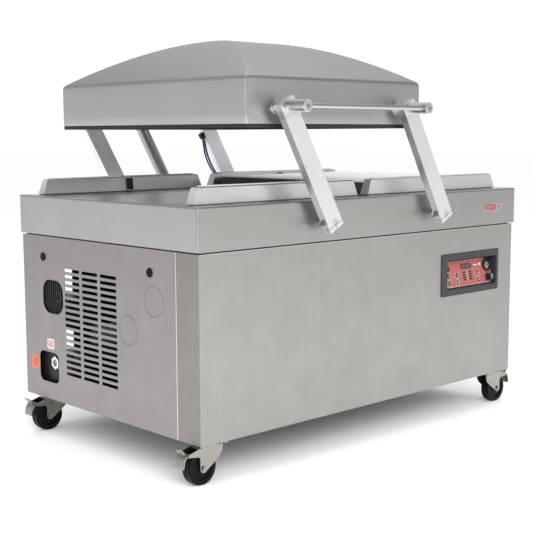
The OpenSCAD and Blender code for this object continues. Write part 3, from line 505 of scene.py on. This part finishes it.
def rr_loop(ix, iy, r, z, nc=7, nx=22, ny=26):
    """One closed loop of the lid at height z: a rectangle set in by ix and iy with rounded corners."""
    x0, x1, y0, y1 = ix, LW - ix, iy, LD - iy
    r = max(0.05, min(r, (x1 - x0) / 2 - 0.01, (y1 - y0) / 2 - 0.01))
    pts = []
    for cx, cy, a0, n, d in ((x1 - r, y0 + r, -90, ny, (0, 1)), (x1 - r, y1 - r, 0, nx, (-1, 0)), (x0 + r, y1 - r, 90, ny, (0, -1)), (x0 + r, y0 + r, 180, nx, (1, 0))):
        arc = [(cx + r * math.cos(math.radians(a0 + 90 * i / nc)), cy + r * math.sin(math.radians(a0 + 90 * i / nc))) for i in range(nc + 1)]
        pts += arc
        span = (y1 - y0 - 2 * r) if d[0] == 0 else (x1 - x0 - 2 * r)
        ex, ey = arc[-1]
        for i in range(1, n):
            pts.append((ex + d[0] * span * i / n, ey + d[1] * span * i / n))
    return [T(LX + px, LY + py, LZ + z) for px, py in pts]


def dome_rows(off, foot):
    """Loops from the foot up to the crown, off mm inside the outer skin."""
    rows = []
    fold = 10.0
    hb = DOME * (1 - (1 - fold / 270) ** 1.35) * 0.9
    rows.append((off, off, 8 - 0.5 * off, foot))
    for k in range(1, 4):
        rows.append((off, off, 8 - 0.5 * off, foot + (SIDE - fold - foot) * k / 4))
    for k in range(0, 7):
        t = k / 6
        rows.append((off + t * t * 9, off + t * t * 9, 8 - 0.5 * off - 1.5 * t, SIDE - (1 - t) ** 2 * fold + t * t * hb - off * t))
    h0 = hb
    steps = 44
    for k in range(1, steps + 1):
        v = 10 + (460 - 10) * (k / steps)
        h = DOME * (1 - (1 - v / 460) ** 2)
        if h <= h0 + 0.5:
            continue
        u = 270 * (1 - max(0.0, 1 - h / DOME) ** (1 / 1.35))
        rows.append((off + max(u, 9.2), off + max(v - 0.9, 9.2) * (463 - off - 2) / 463, 5.0 + 14.0 * (h / DOME) ** 2, SIDE + h - off))
    return rows


def lid_mesh():
    verts, faces = [], []

    def stack(rows, flip):
        base = len(verts)
        n = None
        for ix, iy, r, z in rows:
            loop = rr_loop(ix, iy, r, z)
            n = len(loop)
            verts.extend(loop)
        for i in range(len(rows) - 1):
            for j in range(n):
                a, b = base + i * n + j, base + i * n + (j + 1) % n
                c, d = a + n, b + n
                faces.append((a, b, d, c) if not flip else (a, c, d, b))
        top = [base + (len(rows) - 1) * n + j for j in range(n)]
        centre = sum((verts[i] for i in top), Vector()) / n
        verts.append(centre)
        ci = len(verts) - 1
        for j in range(n):
            faces.append((top[j], top[(j + 1) % n], ci) if not flip else (top[j], ci, top[(j + 1) % n]))
        return base, n

    outer = dome_rows(0.0, 1.2)
    inner = dome_rows(3.0, 1.2)
    bo, n = stack(outer, False)
    bi, _ = stack(inner, True)
    # rounded lip at the steel edge
    rows = [(0.35, 0.35, 7.7, 0.35), (1.2, 1.2, 7.2, 0.0), (1.8, 1.8, 7.0, 0.0), (2.65, 2.65, 6.7, 0.35)]
    base = len(verts)
    for ix, iy, r, z in rows:
        verts.extend(rr_loop(ix, iy, r, z))
    chain = [bo] + [base + k * n for k in range(len(rows))] + [bi]
    for a0, b0 in zip(chain, chain[1:]):
        for j in range(n):
            faces.append((a0 + (j + 1) % n, a0 + j, b0 + j, b0 + (j + 1) % n))
    return verts, faces


lv, lf = lid_mesh()
lid = make("lid_dome", lv, lf, "lid", "lid", smooth=28)
# the lid's front faces get the painted shade copy, its side faces the painted light copy
by_side(lid, ("lid_front_painted_shade", "lid_side"))
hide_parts("lid_shell")

# ------------------------------------------------------------------ finished copies of the CAD parts

for n, m, bv in (
    ("front_panel", "front", 0.0005), ("worktable", "table", 0.0014),
    ("counter_bars", "bar", 0.0008), ("pivot_brackets", "turned", 0.0004), ("lid_pivots", "turned", 0.0004),
    ("handle_rod", "rod", 0.0), ("balance_tube", "balance", 0.0006), ("lid_gasket", "gasket", 0.0012),
    ("control_bezel", "bezel", 0.0008), ("vacuum_gauge", "black", 0.0003), ("control_knob", "black", 0.0004),
    ("bar_silicones", "silicone", 0.0006), ("nozzle_blocks", "black", 0.0004),
    ("seal_bar_front", "bar", 0.0006), ("seal_bar_rear", "bar", 0.0006), ("seal_bar_guides", "turned", 0.0005),
    ("panel_lock_front", "lock", 0.0003), ("panel_lock_rear", "lock", 0.0003),
    ("oil_sight_glass", "chrome", 0.0006), ("cable_gland", "black", 0.0006), ("electrical_box", "box", 0.0008),
    ("vacuum_pump", "pump", 0.001), ("vacuum_manifold", "pipe", 0.001), ("panel_screws", "turned", 0.0002),
    ("caster_plates", "zinc", 0.0006), ("chassis_frame", "frame", 0.001),
):
    refine(n, m, bv)
# the rim's front faces get the painted shade copy, its side faces the painted light copy
by_side(bpy.data.objects["fin_worktable"], ("rim_front_painted_shade", "rim_side_painted_light"))
by_side(bpy.data.objects["fin_counter_bars"], ("bar", "bar_end"))
# the front sheet's folded sides get the painted shade copy of its steel
by_side(bpy.data.objects["fin_front_panel"], ("front", "front_fold_painted_shade"))
for n, m in (("left_side_panel", "side"), ("right_side_panel", "side"), ("rear_panel", "rear")):
    refine(n, m, 0.0004, 1, 50.0)
for c in ("fl", "fr", "rl", "rr"):
    refine("arm_tube_" + c, "arm", 0.0009)
    refine("arm_block_" + c, "block", 0.0007)
    refine("caster_fork_" + c, "zinc", 0.0007)
    refine("caster_brake_" + c, "zinc", 0.0007)
    refine("caster_wheel_" + c, "tyre", 0.0006)
for i in range(1, 7):
    refine("key_%d" % i, "key", 0.0003)
refine("control_membrane", "red", 0.0002)

# ------------------------------------------------------------------ filling plate: a pale top sheet over a body painted near black, painted shade for the dark space under the raised sheet

p_lo, p_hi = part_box("filler_plate")
px0, px1 = (p_lo.x - t_lo.x) * 1000, (p_hi.x - t_lo.x) * 1000
py0, py1 = (p_lo.y - t_lo.y) * 1000, (p_hi.y - t_lo.y) * 1000
pz0, pz1 = p_lo.z * 1000, p_hi.z * 1000


def prism(x0, y0, x1, y1, z0, z1, r, n=6):
    loop = []
    for cx, cy, a0 in ((x1 - r, y0 + r, -90), (x1 - r, y1 - r, 0), (x0 + r, y1 - r, 90), (x0 + r, y0 + r, 180)):
        loop += [(cx + r * math.cos(math.radians(a0 + 90 * i / n)), cy + r * math.sin(math.radians(a0 + 90 * i / n))) for i in range(n + 1)]
    k = len(loop)
    v = [T(x, y, z0) for x, y in loop] + [T(x, y, z1) for x, y in loop]
    f = [tuple(range(k - 1, -1, -1)), tuple(range(k, 2 * k))] + [(i, (i + 1) % k, (i + 1) % k + k, i + k) for i in range(k)]
    return v, f


# body under the top sheet, painted near black as painted shade
v, f = prism(px0 + 1, py0 + 1, px1 - 1, py1 - 1, pz0, pz1 - 3.1, 7)
core = make("filling_plate_shaded_body", v, f, "plate_under_shade", "root", 35)
add_bevel(core, 0.001)
apply_mods(core)
smooth_by_angle(core, 35)
weigh_normals(core)
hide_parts("filler_plate")
v, f = prism(px0, py0, px1, py1, pz1 - 3.0, pz1, 8)
top = make("filling_plate_top", v, f, "plate_top", "root", 35)
add_bevel(top, 0.0008, 3)
apply_mods(top)
smooth_by_angle(top, 35)
weigh_normals(top)
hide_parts("filler_plate")

# ------------------------------------------------------------------ small parts: plates, lenses, symbols

def drawn(lo_hi):
    lo, hi = lo_hi
    return (lo.x - t_lo.x) * 1000, (hi.x - t_lo.x) * 1000, (lo.y - t_lo.y) * 1000, (hi.y - t_lo.y) * 1000, lo.z * 1000, hi.z * 1000


def rrect(x0, z0, x1, z1, r, n=5):
    r = min(r, (x1 - x0) / 2 - 0.001, (z1 - z0) / 2 - 0.001)
    out = []
    for cx, cz, a0 in ((x1 - r, z0 + r, -90), (x1 - r, z1 - r, 0), (x0 + r, z1 - r, 90), (x0 + r, z0 + r, 180)):
        out += [(cx + r * math.cos(math.radians(a0 + 90 * i / n)), cz + r * math.sin(math.radians(a0 + 90 * i / n))) for i in range(n + 1)]
    return out


def turned(outline, deg, cx, cz):
    c, q = math.cos(math.radians(deg)), math.sin(math.radians(deg))
    return [(cx + c * x - q * z, cz + q * x + c * z) for x, z in outline]


def slabs(name, outlines, at, n0, n1, mat, body, edge=0.0, instead_of=None):
    """Thin plates with softened edges; at(a, b, n) gives the point n mm above a surface."""
    verts, faces = [], []
    for o in outlines:
        k, base = len(o), len(verts)
        cx, cz = sum(q[0] for q in o) / k, sum(q[1] for q in o) / k
        size = max(max(abs(q[0] - cx), abs(q[1] - cz)) for q in o)
        shrink = 1 - min(0.3, edge / size) if edge else 1.0
        verts += [at(a, b, n0) for a, b in o]
        if edge:
            verts += [at(a, b, n1 - (n1 - n0) * 0.4) for a, b in o]
            verts += [at(cx + (a - cx) * shrink, cz + (b - cz) * shrink, n1) for a, b in o]
            rows = 3
        else:
            verts += [at(a, b, n1) for a, b in o]
            rows = 2
        faces.append(tuple(base + i for i in range(k - 1, -1, -1)))
        faces.append(tuple(base + (rows - 1) * k + i for i in range(k)))
        for r in range(rows - 1):
            faces += [(base + r * k + i, base + r * k + (i + 1) % k, base + (r + 1) * k + (i + 1) % k, base + (r + 1) * k + i) for i in range(k)]
    ob = make(name, verts, faces, mat, body, 40)
    if edge:
        weigh_normals(ob)
    if instead_of:
        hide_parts(instead_of)
    return ob


def lathe(name, profile, at, mat, body, n=40, smooth=35, cx=0.0, cz=0.0):
    """Body of revolution: profile of (radius, height) pairs about the surface normal at cx, cz."""
    verts, faces, rings = [], [], []
    for r, h in profile:
        if r < 1e-6:
            verts.append(at(cx, cz, h))
            rings.append((len(verts) - 1, 1))
        else:
            rings.append((len(verts), n))
            verts += [at(cx + r * math.cos(2 * math.pi * i / n), cz + r * math.sin(2 * math.pi * i / n), h) for i in range(n)]
    for (a, ka), (b, kb) in zip(rings, rings[1:]):
        for i in range(n):
            j = (i + 1) % n
            if ka == 1:
                faces.append((a, b + j, b + i))
            elif kb == 1:
                faces.append((a + i, a + j, b))
            else:
                faces.append((a + i, a + j, b + j, b + i))
    return make(name, verts, faces, mat, body, smooth)


def circle(cx, cz, r, n=24):
    return [(cx + r * math.cos(2 * math.pi * i / n), cz + r * math.sin(2 * math.pi * i / n)) for i in range(n)]


def band(name, outer, inner, at, n0, n1, mat, body):
    """A closed band between two outlines that have the same number of points."""
    k = len(outer)
    verts = [at(a, b, n0) for a, b in outer] + [at(a, b, n1) for a, b in outer] + [at(a, b, n1) for a, b in inner] + [at(a, b, n0) for a, b in inner]
    faces = []
    for r in range(4):
        q = (r + 1) % 4
        faces += [(r * k + i, r * k + (i + 1) % k, q * k + (i + 1) % k, q * k + i) for i in range(k)]
    return make(name, verts, faces, mat, body, 40)


TILT = math.radians(12)


def on_face(x, z, n=0.0):
    q = z - 500
    return T(x, 28 + q * math.sin(TILT) - n * math.cos(TILT), 500 + q * math.cos(TILT) + n * math.sin(TILT))


def face_centre(node):
    """Centre of a round part on the panel's face, in the face's x and z."""
    x0, x1, y0, y1, z0, z1 = drawn(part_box(node))
    ym, zm = (y0 + y1) / 2, (z0 + z1) / 2
    return (x0 + x1) / 2, 500 + (ym - 28) * math.sin(TILT) + (zm - 500) * math.cos(TILT)


mx0, mx1, _, _, mz0, mz1 = drawn(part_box("control_membrane"))
mx0, mx1 = round(mx0, 2), round(mx1, 2)
MZ0, MZ1 = 500 + (mz0 - 500) / math.cos(TILT), 500 + (mz1 - 500) / math.cos(TILT)
gx, gz = face_centre("vacuum_gauge")
kx, kz = face_centre("control_knob")
keys = [face_centre("key_%d" % i) for i in range(1, 7)]


def membrane_outline(d, n=8):
    x0, z0, x1, z1 = mx0 + d, MZ0 + 0.6 + d, mx1 - d, MZ1 - 0.6 - d
    ra, rb, rc = 44 - d, 16 - d, 10 - d
    out = [(x0 + rc - rc * math.cos(math.radians(90 * i / n)), z0 + rc - rc * math.sin(math.radians(90 * i / n))) for i in range(n + 1)]
    out += [(x1 - rb + rb * math.sin(math.radians(90 * i / n)), z0 + rb - rb * math.cos(math.radians(90 * i / n))) for i in range(n + 1)]
    out += [(x1 - ra + ra * math.cos(math.radians(90 * i / (2 * n))), z1 - ra + ra * math.sin(math.radians(90 * i / (2 * n)))) for i in range(2 * n + 1)]
    out += [(x0 + rc - rc * math.sin(math.radians(90 * i / n)), z1 - rc + rc * math.cos(math.radians(90 * i / n))) for i in range(n + 1)]
    return out


band("membrane_border", membrane_outline(0.9), membrane_outline(1.9), on_face, 0.02, 0.14, "key_print", "root")

# display: a smoked window with plain blank segments
dc = (gx + keys[0][0]) / 2 - 5.8
slabs("display_window", [rrect(dc - 31.5, gz - 3.6, dc + 31.5, gz + 15.2, 9)], on_face, -0.58, -0.12, "display", "root", 0.6)
slabs("display_segments", [turned(rrect(-5.2, -5.5, 5.2, 5.5, 1.6), -4, dc + dx, gz + 5.8) for dx in (-15, 0, 15)], on_face, -0.12, -0.02, "segment", "root")

# lamps beside blank legend fields
rows = [keys[0][1] + dz for dz in (7.0, -1.6, -10.4, -19.0)]
slabs("lamp_row_left", [rrect(dc - 25, z - 2.7, dc - 6, z + 2.7, 2.2) for z in rows], on_face, 0.02, 0.5, "key", "root", 0.5)
slabs("lamp_row_right", [rrect(dc + 8, z - 2.7, dc + 28, z + 2.7, 2.2) for z in rows], on_face, 0.02, 0.5, "key", "root", 0.5)
slabs("legend_fields", [rrect(dc - 5, z - 2.9, dc + 7, z + 2.9, 1.0) for z in rows], on_face, 0.02, 0.12, "legend", "root")

# pale rings round the keys and one plain symbol on each key
for i, (cx, cz) in enumerate(keys):
    band("key_ring_%d" % (i + 1), circle(cx, cz, 10.6, 32), circle(cx, cz, 9.5, 32), on_face, 0.02, 0.14, "key_print", "root")
sym = [
    [rrect(-1.2, -4.2, 1.2, 4.2, 0.8)],
    [rrect(-4.2, -1.2, 4.2, 1.2, 0.8)],
    [turned(rrect(-1.2, -4.8, 1.2, 4.8, 0.8), -35, 0, 0)],
    [rrect(-3.4, -4.2, -1.0, 4.2, 0.7), rrect(1.0, -4.2, 3.4, 4.2, 0.7)],
    [[(-4.2, -3.0), (4.2, -3.0), (0.0, 4.2)]],
    [[(-4.2, 3.0), (0.0, -4.2), (4.2, 3.0)]],
]
for i, (cx, cz) in enumerate(keys):
    slabs("key_symbol_%d" % (i + 1), [[(cx + a, cz + b) for a, b in o] for o in sym[i]], on_face, 1.86, 2.12, "key_print", "key%d" % (i + 1))

# blind dome above the first column of keys, at the recess's left wall
lathe("blind_dome", [(9.2, 0.0), (9.2, 1.2), (8.4, 2.2), (6.0, 2.9), (0.0, 3.1)], on_face, "key", "root", 32, 40, keys[0][0], keys[0][1] + 24.8)

# small plain mark beside the display
slabs("panel_mark", [rrect(dc + 42, gz + 4.4, dc + 66, gz + 8.4, 1.8), circle(dc + 79, gz + 7.4, 5.2, 20)], on_face, 0.02, 0.14, "key_print", "root")

# gauge: dial with ticks, a needle with its hub and a glass
lathe("gauge_dial", [(16.4, 3.0), (16.4, 3.25), (0.0, 3.25)], on_face, "dial", "root", 40, 30, gx, gz)
ticks = []
for k in range(11):
    a = math.radians(225 - 27 * k)
    long_tick = k % 5 == 0
    o = rrect(-0.45 if long_tick else -0.3, 8.4 if long_tick else 9.4, 0.45 if long_tick else 0.3, 11.4, 0.25, 2)
    ticks.append(turned(o, math.degrees(a) - 90, gx, gz))
slabs("gauge_ticks", ticks, on_face, 3.26, 3.42, "needle", "root")
arc_o = [(gx + 7.8 * math.cos(math.radians(a)), gz + 7.8 * math.sin(math.radians(a))) for a in range(-45, 46, 6)]
arc_i = [(gx + 6.2 * math.cos(math.radians(a)), gz + 6.2 * math.sin(math.radians(a))) for a in range(45, -46, -6)]
slabs("gauge_zone", [arc_o + arc_i], on_face, 3.26, 3.4, "pipe", "root")
lathe("gauge_collar", [(12.2, 3.3), (12.2, 4.6), (12.8, 5.0), (16.4, 5.0), (16.4, 3.3)], on_face, "black", "root", 40, 35, gx, gz)
slabs("gauge_needle", [turned([(-1.0, -3.6), (1.0, -3.6), (0.5, 9.6), (0.0, 10.4), (-0.5, 9.6)], 38, gx, gz)], on_face, 3.8, 4.2, "needle", "root")
lathe("gauge_hub", [(2.6, 3.3), (2.6, 4.4), (1.9, 4.8), (0.0, 4.9)], on_face, "needle", "root", 20, 35, gx, gz)
lathe("gauge_glass", [(16.3, 5.1), (16.3, 5.6), (10.0, 6.0), (0.0, 6.15), ], on_face, "glass", "root", 40, 60, gx, gz)

# knob: pale face with a pointer that runs down the grip
lathe("knob_cap", [(9.6, 19.7), (9.6, 20.1), (9.0, 20.5), (0.0, 20.5)], on_face, "knob_face", "knob", 36, 35, kx, kz)
slabs("knob_pointer", [rrect(kx - 0.9, kz + 1.5, kx + 0.9, kz + 9.2, 0.5)], on_face, 20.5, 20.75, "key_print", "knob")
slabs("knob_pointer_side", [rrect(kx - 0.9, kz + 11.0, kx + 0.9, kz + 13.2, 0.4)], on_face, 3.9, 6.2, "key_print", "knob")

# ------------------------------------------------------------------ plain plates


def on_rim(x, z, n=0.0):
    return T(x, -n, z)


def on_left(y, z, n=0.0):
    return T(6.5 - n, y, z)


def plate_box(test, axis):
    """Extent of one of the part's plates along one horizontal axis and in z, in drawing mm."""
    ob = nodes["blank_badges"]
    pts = [ob.matrix_world @ v.co for v in ob.data.vertices]
    pts = [((q.x - t_lo.x) * 1000, (q.y - t_lo.y) * 1000, q.z * 1000) for q in pts]
    pts = [q for q in pts if test(q)]
    return min(q[axis] for q in pts), max(q[axis] for q in pts), min(q[2] for q in pts), max(q[2] for q in pts)


# the three plates of the part: one on the rim, two on the left panel
bx0, bx1, bz0, bz1 = plate_box(lambda c: c[1] < 3, 0)
slabs("rim_plate", [rrect(bx0, bz0, bx1, bz1, 13, 8)], on_rim, 0.0, 1.2, "badge_rim", "root", 1.6, "blank_badges")
slabs("rim_plate_field", [rrect(bx0 + 5, bz0 + 4.2, bx0 + 72, bz1 - 4.2, 10, 8)], on_rim, 1.1, 1.42, "badge", "root", 1.0)
slabs("rim_plate_bars", [rrect(bx0 + 17, (bz0 + bz1) / 2 + 1.2, bx0 + 60, (bz0 + bz1) / 2 + 3.4, 1.0), rrect(bx0 + 22, (bz0 + bz1) / 2 - 3.4, bx0 + 55, (bz0 + bz1) / 2 - 1.2, 1.0)], on_rim, 1.42, 1.5, "badge_rim", "root")
band("rim_plate_ring", circle(bx1 - 19, (bz0 + bz1) / 2, 8.5, 28), circle(bx1 - 19, (bz0 + bz1) / 2, 6.6, 28), on_rim, 1.15, 1.45, "badge", "root")
slabs("rim_plate_dot", [circle(bx1 - 19, (bz0 + bz1) / 2, 2.8, 16)], on_rim, 1.15, 1.45, "black", "root")
u0, u1, v0, v1 = plate_box(lambda c: c[1] > 3 and c[1] < 820, 1)
slabs("side_label_pale", [rrect(u0, v0, u1, v1, 4)], on_left, 0.0, 0.5, "label_pale", "root", 0.8, "blank_badges")
slabs("side_label_bars", [rrect(u0 + 5, v1 - 11 - 8 * k, u0 + 21 + 3 * k, v1 - 6 - 8 * k, 1.2) for k in range(3)], on_left, 0.5, 0.62, "label", "root")
band("side_label_ring", circle(u1 - 11, (v0 + v1) / 2 + 2, 8, 28), circle(u1 - 11, (v0 + v1) / 2 + 2, 6.0, 28), on_left, 0.5, 0.62, "needle", "root")
u0, u1, v0, v1 = plate_box(lambda c: c[1] > 820, 1)
slabs("side_label_orange", [rrect(u0, v0, u1, v1, 3)], on_left, 0.0, 0.5, "label", "root", 0.8, "blank_badges")
slabs("side_label_lines", [rrect(u0 + 6, v1 - 10.5 - 7.5 * k, u1 - 6 - 5 * (k % 2), v1 - 7.5 - 7.5 * k, 1.0) for k in range(4)], on_left, 0.5, 0.62, "label_dark", "root")

# shadowed bottoms of the two scored knock-outs
for i, (cy, cz) in enumerate(((212, 510), (338, 410))):
    band("knockout_score_%d" % (i + 1), circle(cy, cz, 45.15, 64), circle(cy, cz, 44.05, 64), on_left, -1.3, -0.75, "groove", "root")


def bead(name, pts, r, mat, n=8):
    """A thin round bead along a straight or bent path of drawing points."""
    ps = [Vector(q) for q in pts]
    verts, faces = [], []
    for i, q in enumerate(ps):
        d = (ps[min(i + 1, len(ps) - 1)] - ps[max(i - 1, 0)]).normalized()
        ref = Vector((0, 0, 1)) if abs(d.z) < 0.9 else Vector((1, 0, 0))
        e1 = d.cross(ref).normalized()
        e2 = d.cross(e1)
        for j in range(n):
            a = 2 * math.pi * j / n
            w = q + e1 * (r * math.cos(a)) + e2 * (r * math.sin(a))
            verts.append(T(w.x, w.y, w.z))
    for i in range(len(ps) - 1):
        for j in range(n):
            faces.append((i * n + j, i * n + (j + 1) % n, (i + 1) * n + (j + 1) % n, (i + 1) * n + j))
    faces.append(tuple(range(n - 1, -1, -1)))
    faces.append(tuple((len(ps) - 1) * n + j for j in range(n)))
    return make(name, verts, faces, mat, "root", 60)


# rolled edge of the side panels at their front seam, in a bright steel: a painted highlight along the edge
bead("seam_highlight_left", [(7.6, 109.2, 126), (7.6, 109.2, 400), (7.6, 109.2, 658)], 1.25, "edge")
bead("seam_highlight_right", [(TW - 7.6, 109.2, 126), (TW - 7.6, 109.2, 400), (TW - 7.6, 109.2, 658)], 1.25, "edge")

# rounded upper edge of the front sheet, in a bright steel: a painted highlight along the edge
bead("front_top_highlight", [(12, 7.3, 659.2), (TW / 2, 7.3, 659.2), (TW - 12, 7.3, 659.2)], 1.0, "edge")

# a black band round the foot of each counter bar: a painted shadow line where the bar meets the table
def on_table(x, y, n=0.0):
    return T(x, y, TH + n)


bar_ob = nodes["counter_bars"]
bar_pts = [bar_ob.matrix_world @ v.co for v in bar_ob.data.vertices]
bar_pts = [((q.x - t_lo.x) * 1000, (q.y - t_lo.y) * 1000) for q in bar_pts if q.z * 1000 < TH + 0.3]
for i, (left_, front_) in enumerate(((1, 1), (0, 1), (1, 0), (0, 0))):
    mine = [q for q in bar_pts if (q[0] < TW / 2) == bool(left_) and (q[1] < TD / 2) == bool(front_)]
    a0, a1 = min(q[0] for q in mine), max(q[0] for q in mine)
    b0, b1 = min(q[1] for q in mine), max(q[1] for q in mine)
    # black rubber band as a painted shadow line at the bar's foot
    band("bar_shadow_line_%d" % (i + 1), rrect(a0 - 1.5, b0 - 1.5, a1 + 1.5, b1 + 1.5, 3.0), rrect(a0 + 1.0, b0 + 1.0, a1 - 1.0, b1 - 1.0, 1.0), on_table, 0.05, 1.3, "gasket", "root")

# lens of the oil sight glass
def on_sight(y, z, n=0.0):
    return T(14 - n, y, z)


sy0, sy1, sz0, sz1 = [v for k, v in enumerate(drawn(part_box("oil_sight_glass"))) if k in (2, 3, 4, 5)]
scy, scz = (sy0 + sy1) / 2, (sz0 + sz1) / 2
lathe("sight_lens", [(11.8, -4.6), (11.8, -3.4), (8.0, -2.8), (0.0, -2.6)], on_sight, "oil", "root", 32, 50, scy, scz)
band("sight_inner_ring", circle(scy, scz, 7.4, 28), circle(scy, scz, 5.6, 28), on_sight, -2.9, -2.35, "dial", "root")

# ------------------------------------------------------------------ handle bosses: socket screws in the end faces

px_, _, py_, _, pz_, pz2_ = drawn(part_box("handle_rod"))
rod_z = (pz_ + pz2_) / 2
rod_x0, rod_x1 = drawn(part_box("handle_rod"))[0:2]
boss_end = drawn(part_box("lid_pivots"))[2]


def on_boss(x, z, n=0.0):
    return T(x, boss_end - n, z)


for nm, cx in (("left", rod_x0 - 6.5), ("right", rod_x1 + 6.5)):
    hexa = [(cx + 3.9 * math.cos(math.radians(60 * i)), rod_z + 3.9 * math.sin(math.radians(60 * i))) for i in range(6)]
    slabs("boss_socket_" + nm, [hexa], on_boss, -4.5, -3.2, "dark_steel", "lid")
    band("boss_ring_" + nm, circle(cx, rod_z, 10.0, 36), circle(cx, rod_z, 8.7, 36), on_boss, -2.0, -1.0, "dark_steel", "lid")

# dark joint rings round the bosses
for nm, cx, dd in (("left", rod_x0 - 6.5, (13.0,)), ("right", rod_x1 + 6.5, (13.0, 27.0))):
    for i, d in enumerate(dd):
        def round_boss(a, b, n, y=d):
            return T(cx + a, boss_end + y + n, rod_z + b)
        band("boss_groove_%s_%d" % (nm, i + 1), circle(0, 0, 18.06, 48), circle(0, 0, 17.3, 48), round_boss, -0.5, 0.5, "dark_steel", "lid")

# ------------------------------------------------------------------ arms: joint above the foot block, dark clamp screws

LEAN = math.radians(29)
for c in ("fl", "fr", "rl", "rr"):
    ax = TW / 2 + (-264 if c[1] == "l" else 264)
    ax0, ax1, ay0, ay1, _, _ = drawn(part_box("arm_tube_" + c))

    def across(u, v, s_, ax=ax):
        return T(ax + u * math.cos(LEAN) - s_ * math.sin(LEAN), v, 725.0 + u * math.sin(LEAN) + s_ * math.cos(LEAN))

    band("arm_seam_" + c, rrect(-30.15, ay0 - 0.15, 30.15, ay1 + 0.15, 2.0), rrect(-29.0, ay0 + 1.0, 29.0, ay1 - 1.0, 1.5), across, -9.0, -7.6, "groove", node_body["arm_tube_" + c])
    blk = bpy.data.objects["fin_arm_block_" + c]
    blk.data.materials.append(M["dark_steel"])
    for p in blk.data.polygons:
        q = blk.matrix_world @ p.center
        dx, dz = (q.x - t_lo.x) * 1000 - ax, q.z * 1000 - 725.0
        if abs(dx * math.cos(LEAN) + dz * math.sin(LEAN)) > 30.6:
            p.material_index = 1

# ------------------------------------------------------------------ hose and cable on the rear right arm

ARM_X, ARM_Y, ARM_Z = TW / 2 + 264, TD + 42.5, 725.0


def on_arm(u, v, s_):
    return T(ARM_X + u * math.cos(LEAN) - s_ * math.sin(LEAN), ARM_Y + v, ARM_Z + u * math.sin(LEAN) + s_ * math.cos(LEAN))


route = [(-38, 300), (-39, 288), (-44, 270), (-50, 248), (-53, 225), (-54, 203), (-53, 181), (-50, 158), (-44, 136), (-39, 118), (-38, 106)]


def catmull(p, n):
    out = []
    for i in range(len(p) - 1):
        a, b, c, d = p[max(i - 1, 0)], p[i], p[i + 1], p[min(i + 2, len(p) - 1)]
        for j in range(n):
            t = j / n
            out.append(tuple(0.5 * (2 * b[k] + (c[k] - a[k]) * t + (2 * a[k] - 5 * b[k] + 4 * c[k] - d[k]) * t * t + (3 * b[k] - a[k] - 3 * c[k] + d[k]) * t ** 3) for k in (0, 1)))
    return out + [p[-1]]


def swept(name, path, r, v, mat, n=14):
    verts, faces = [], []
    for i, q in enumerate(path):
        a, b = path[max(i - 1, 0)], path[min(i + 1, len(path) - 1)]
        dx, dz = b[0] - a[0], b[1] - a[1]
        if i in (0, len(path) - 1):
            dx, dz = 0, -1
        ln = math.hypot(dx, dz)
        m = (-dz / ln, dx / ln)
        for j in range(n):
            w = 2 * math.pi * j / n
            verts.append(on_arm(q[0] + r * math.cos(w) * m[0], v + r * math.sin(w), q[1] + r * math.cos(w) * m[1]))
    for i in range(len(path) - 1):
        for j in range(n):
            faces.append((i * n + j, i * n + (j + 1) % n, (i + 1) * n + (j + 1) % n, (i + 1) * n + j))
    faces.append(tuple(range(n - 1, -1, -1)))
    faces.append(tuple((len(path) - 1) * n + j for j in range(n)))
    ob = make(name, verts, faces, mat, "arm_rr", 60)
    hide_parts("arm_cables")
    return ob


fine_route = catmull(route, 4)
swept("air_hose", fine_route, 4.0, -5.0, "hose")
swept("signal_cable", [(q[0] + (q[0] + 38) * 0.25, q[1]) for q in fine_route], 3.0, 4.0, "cable", 12)
for nm, s0 in (("top", 300), ("bottom", 86)):
    o = [(0, -10.5), (13, -10.5), (15, -8.5), (15, 8.5), (13, 10.5), (0, 10.5)]
    base = [on_arm(-30.1 - a, -b, s0) for a, b in o]
    tip = [on_arm(-30.1 - a, -b, s0 + 20) for a, b in o]
    k = len(o)
    clip = make("cable_clip_" + nm, base + tip, [tuple(range(k)), tuple(range(2 * k - 1, k - 1, -1))] + [(i, (i + 1) % k, (i + 1) % k + k, i + k) for i in range(k)], "black", "arm_rr", 30)
    add_bevel(clip, 0.0009)
    apply_mods(clip)
    smooth_by_angle(clip, 30)
    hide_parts("arm_cables")
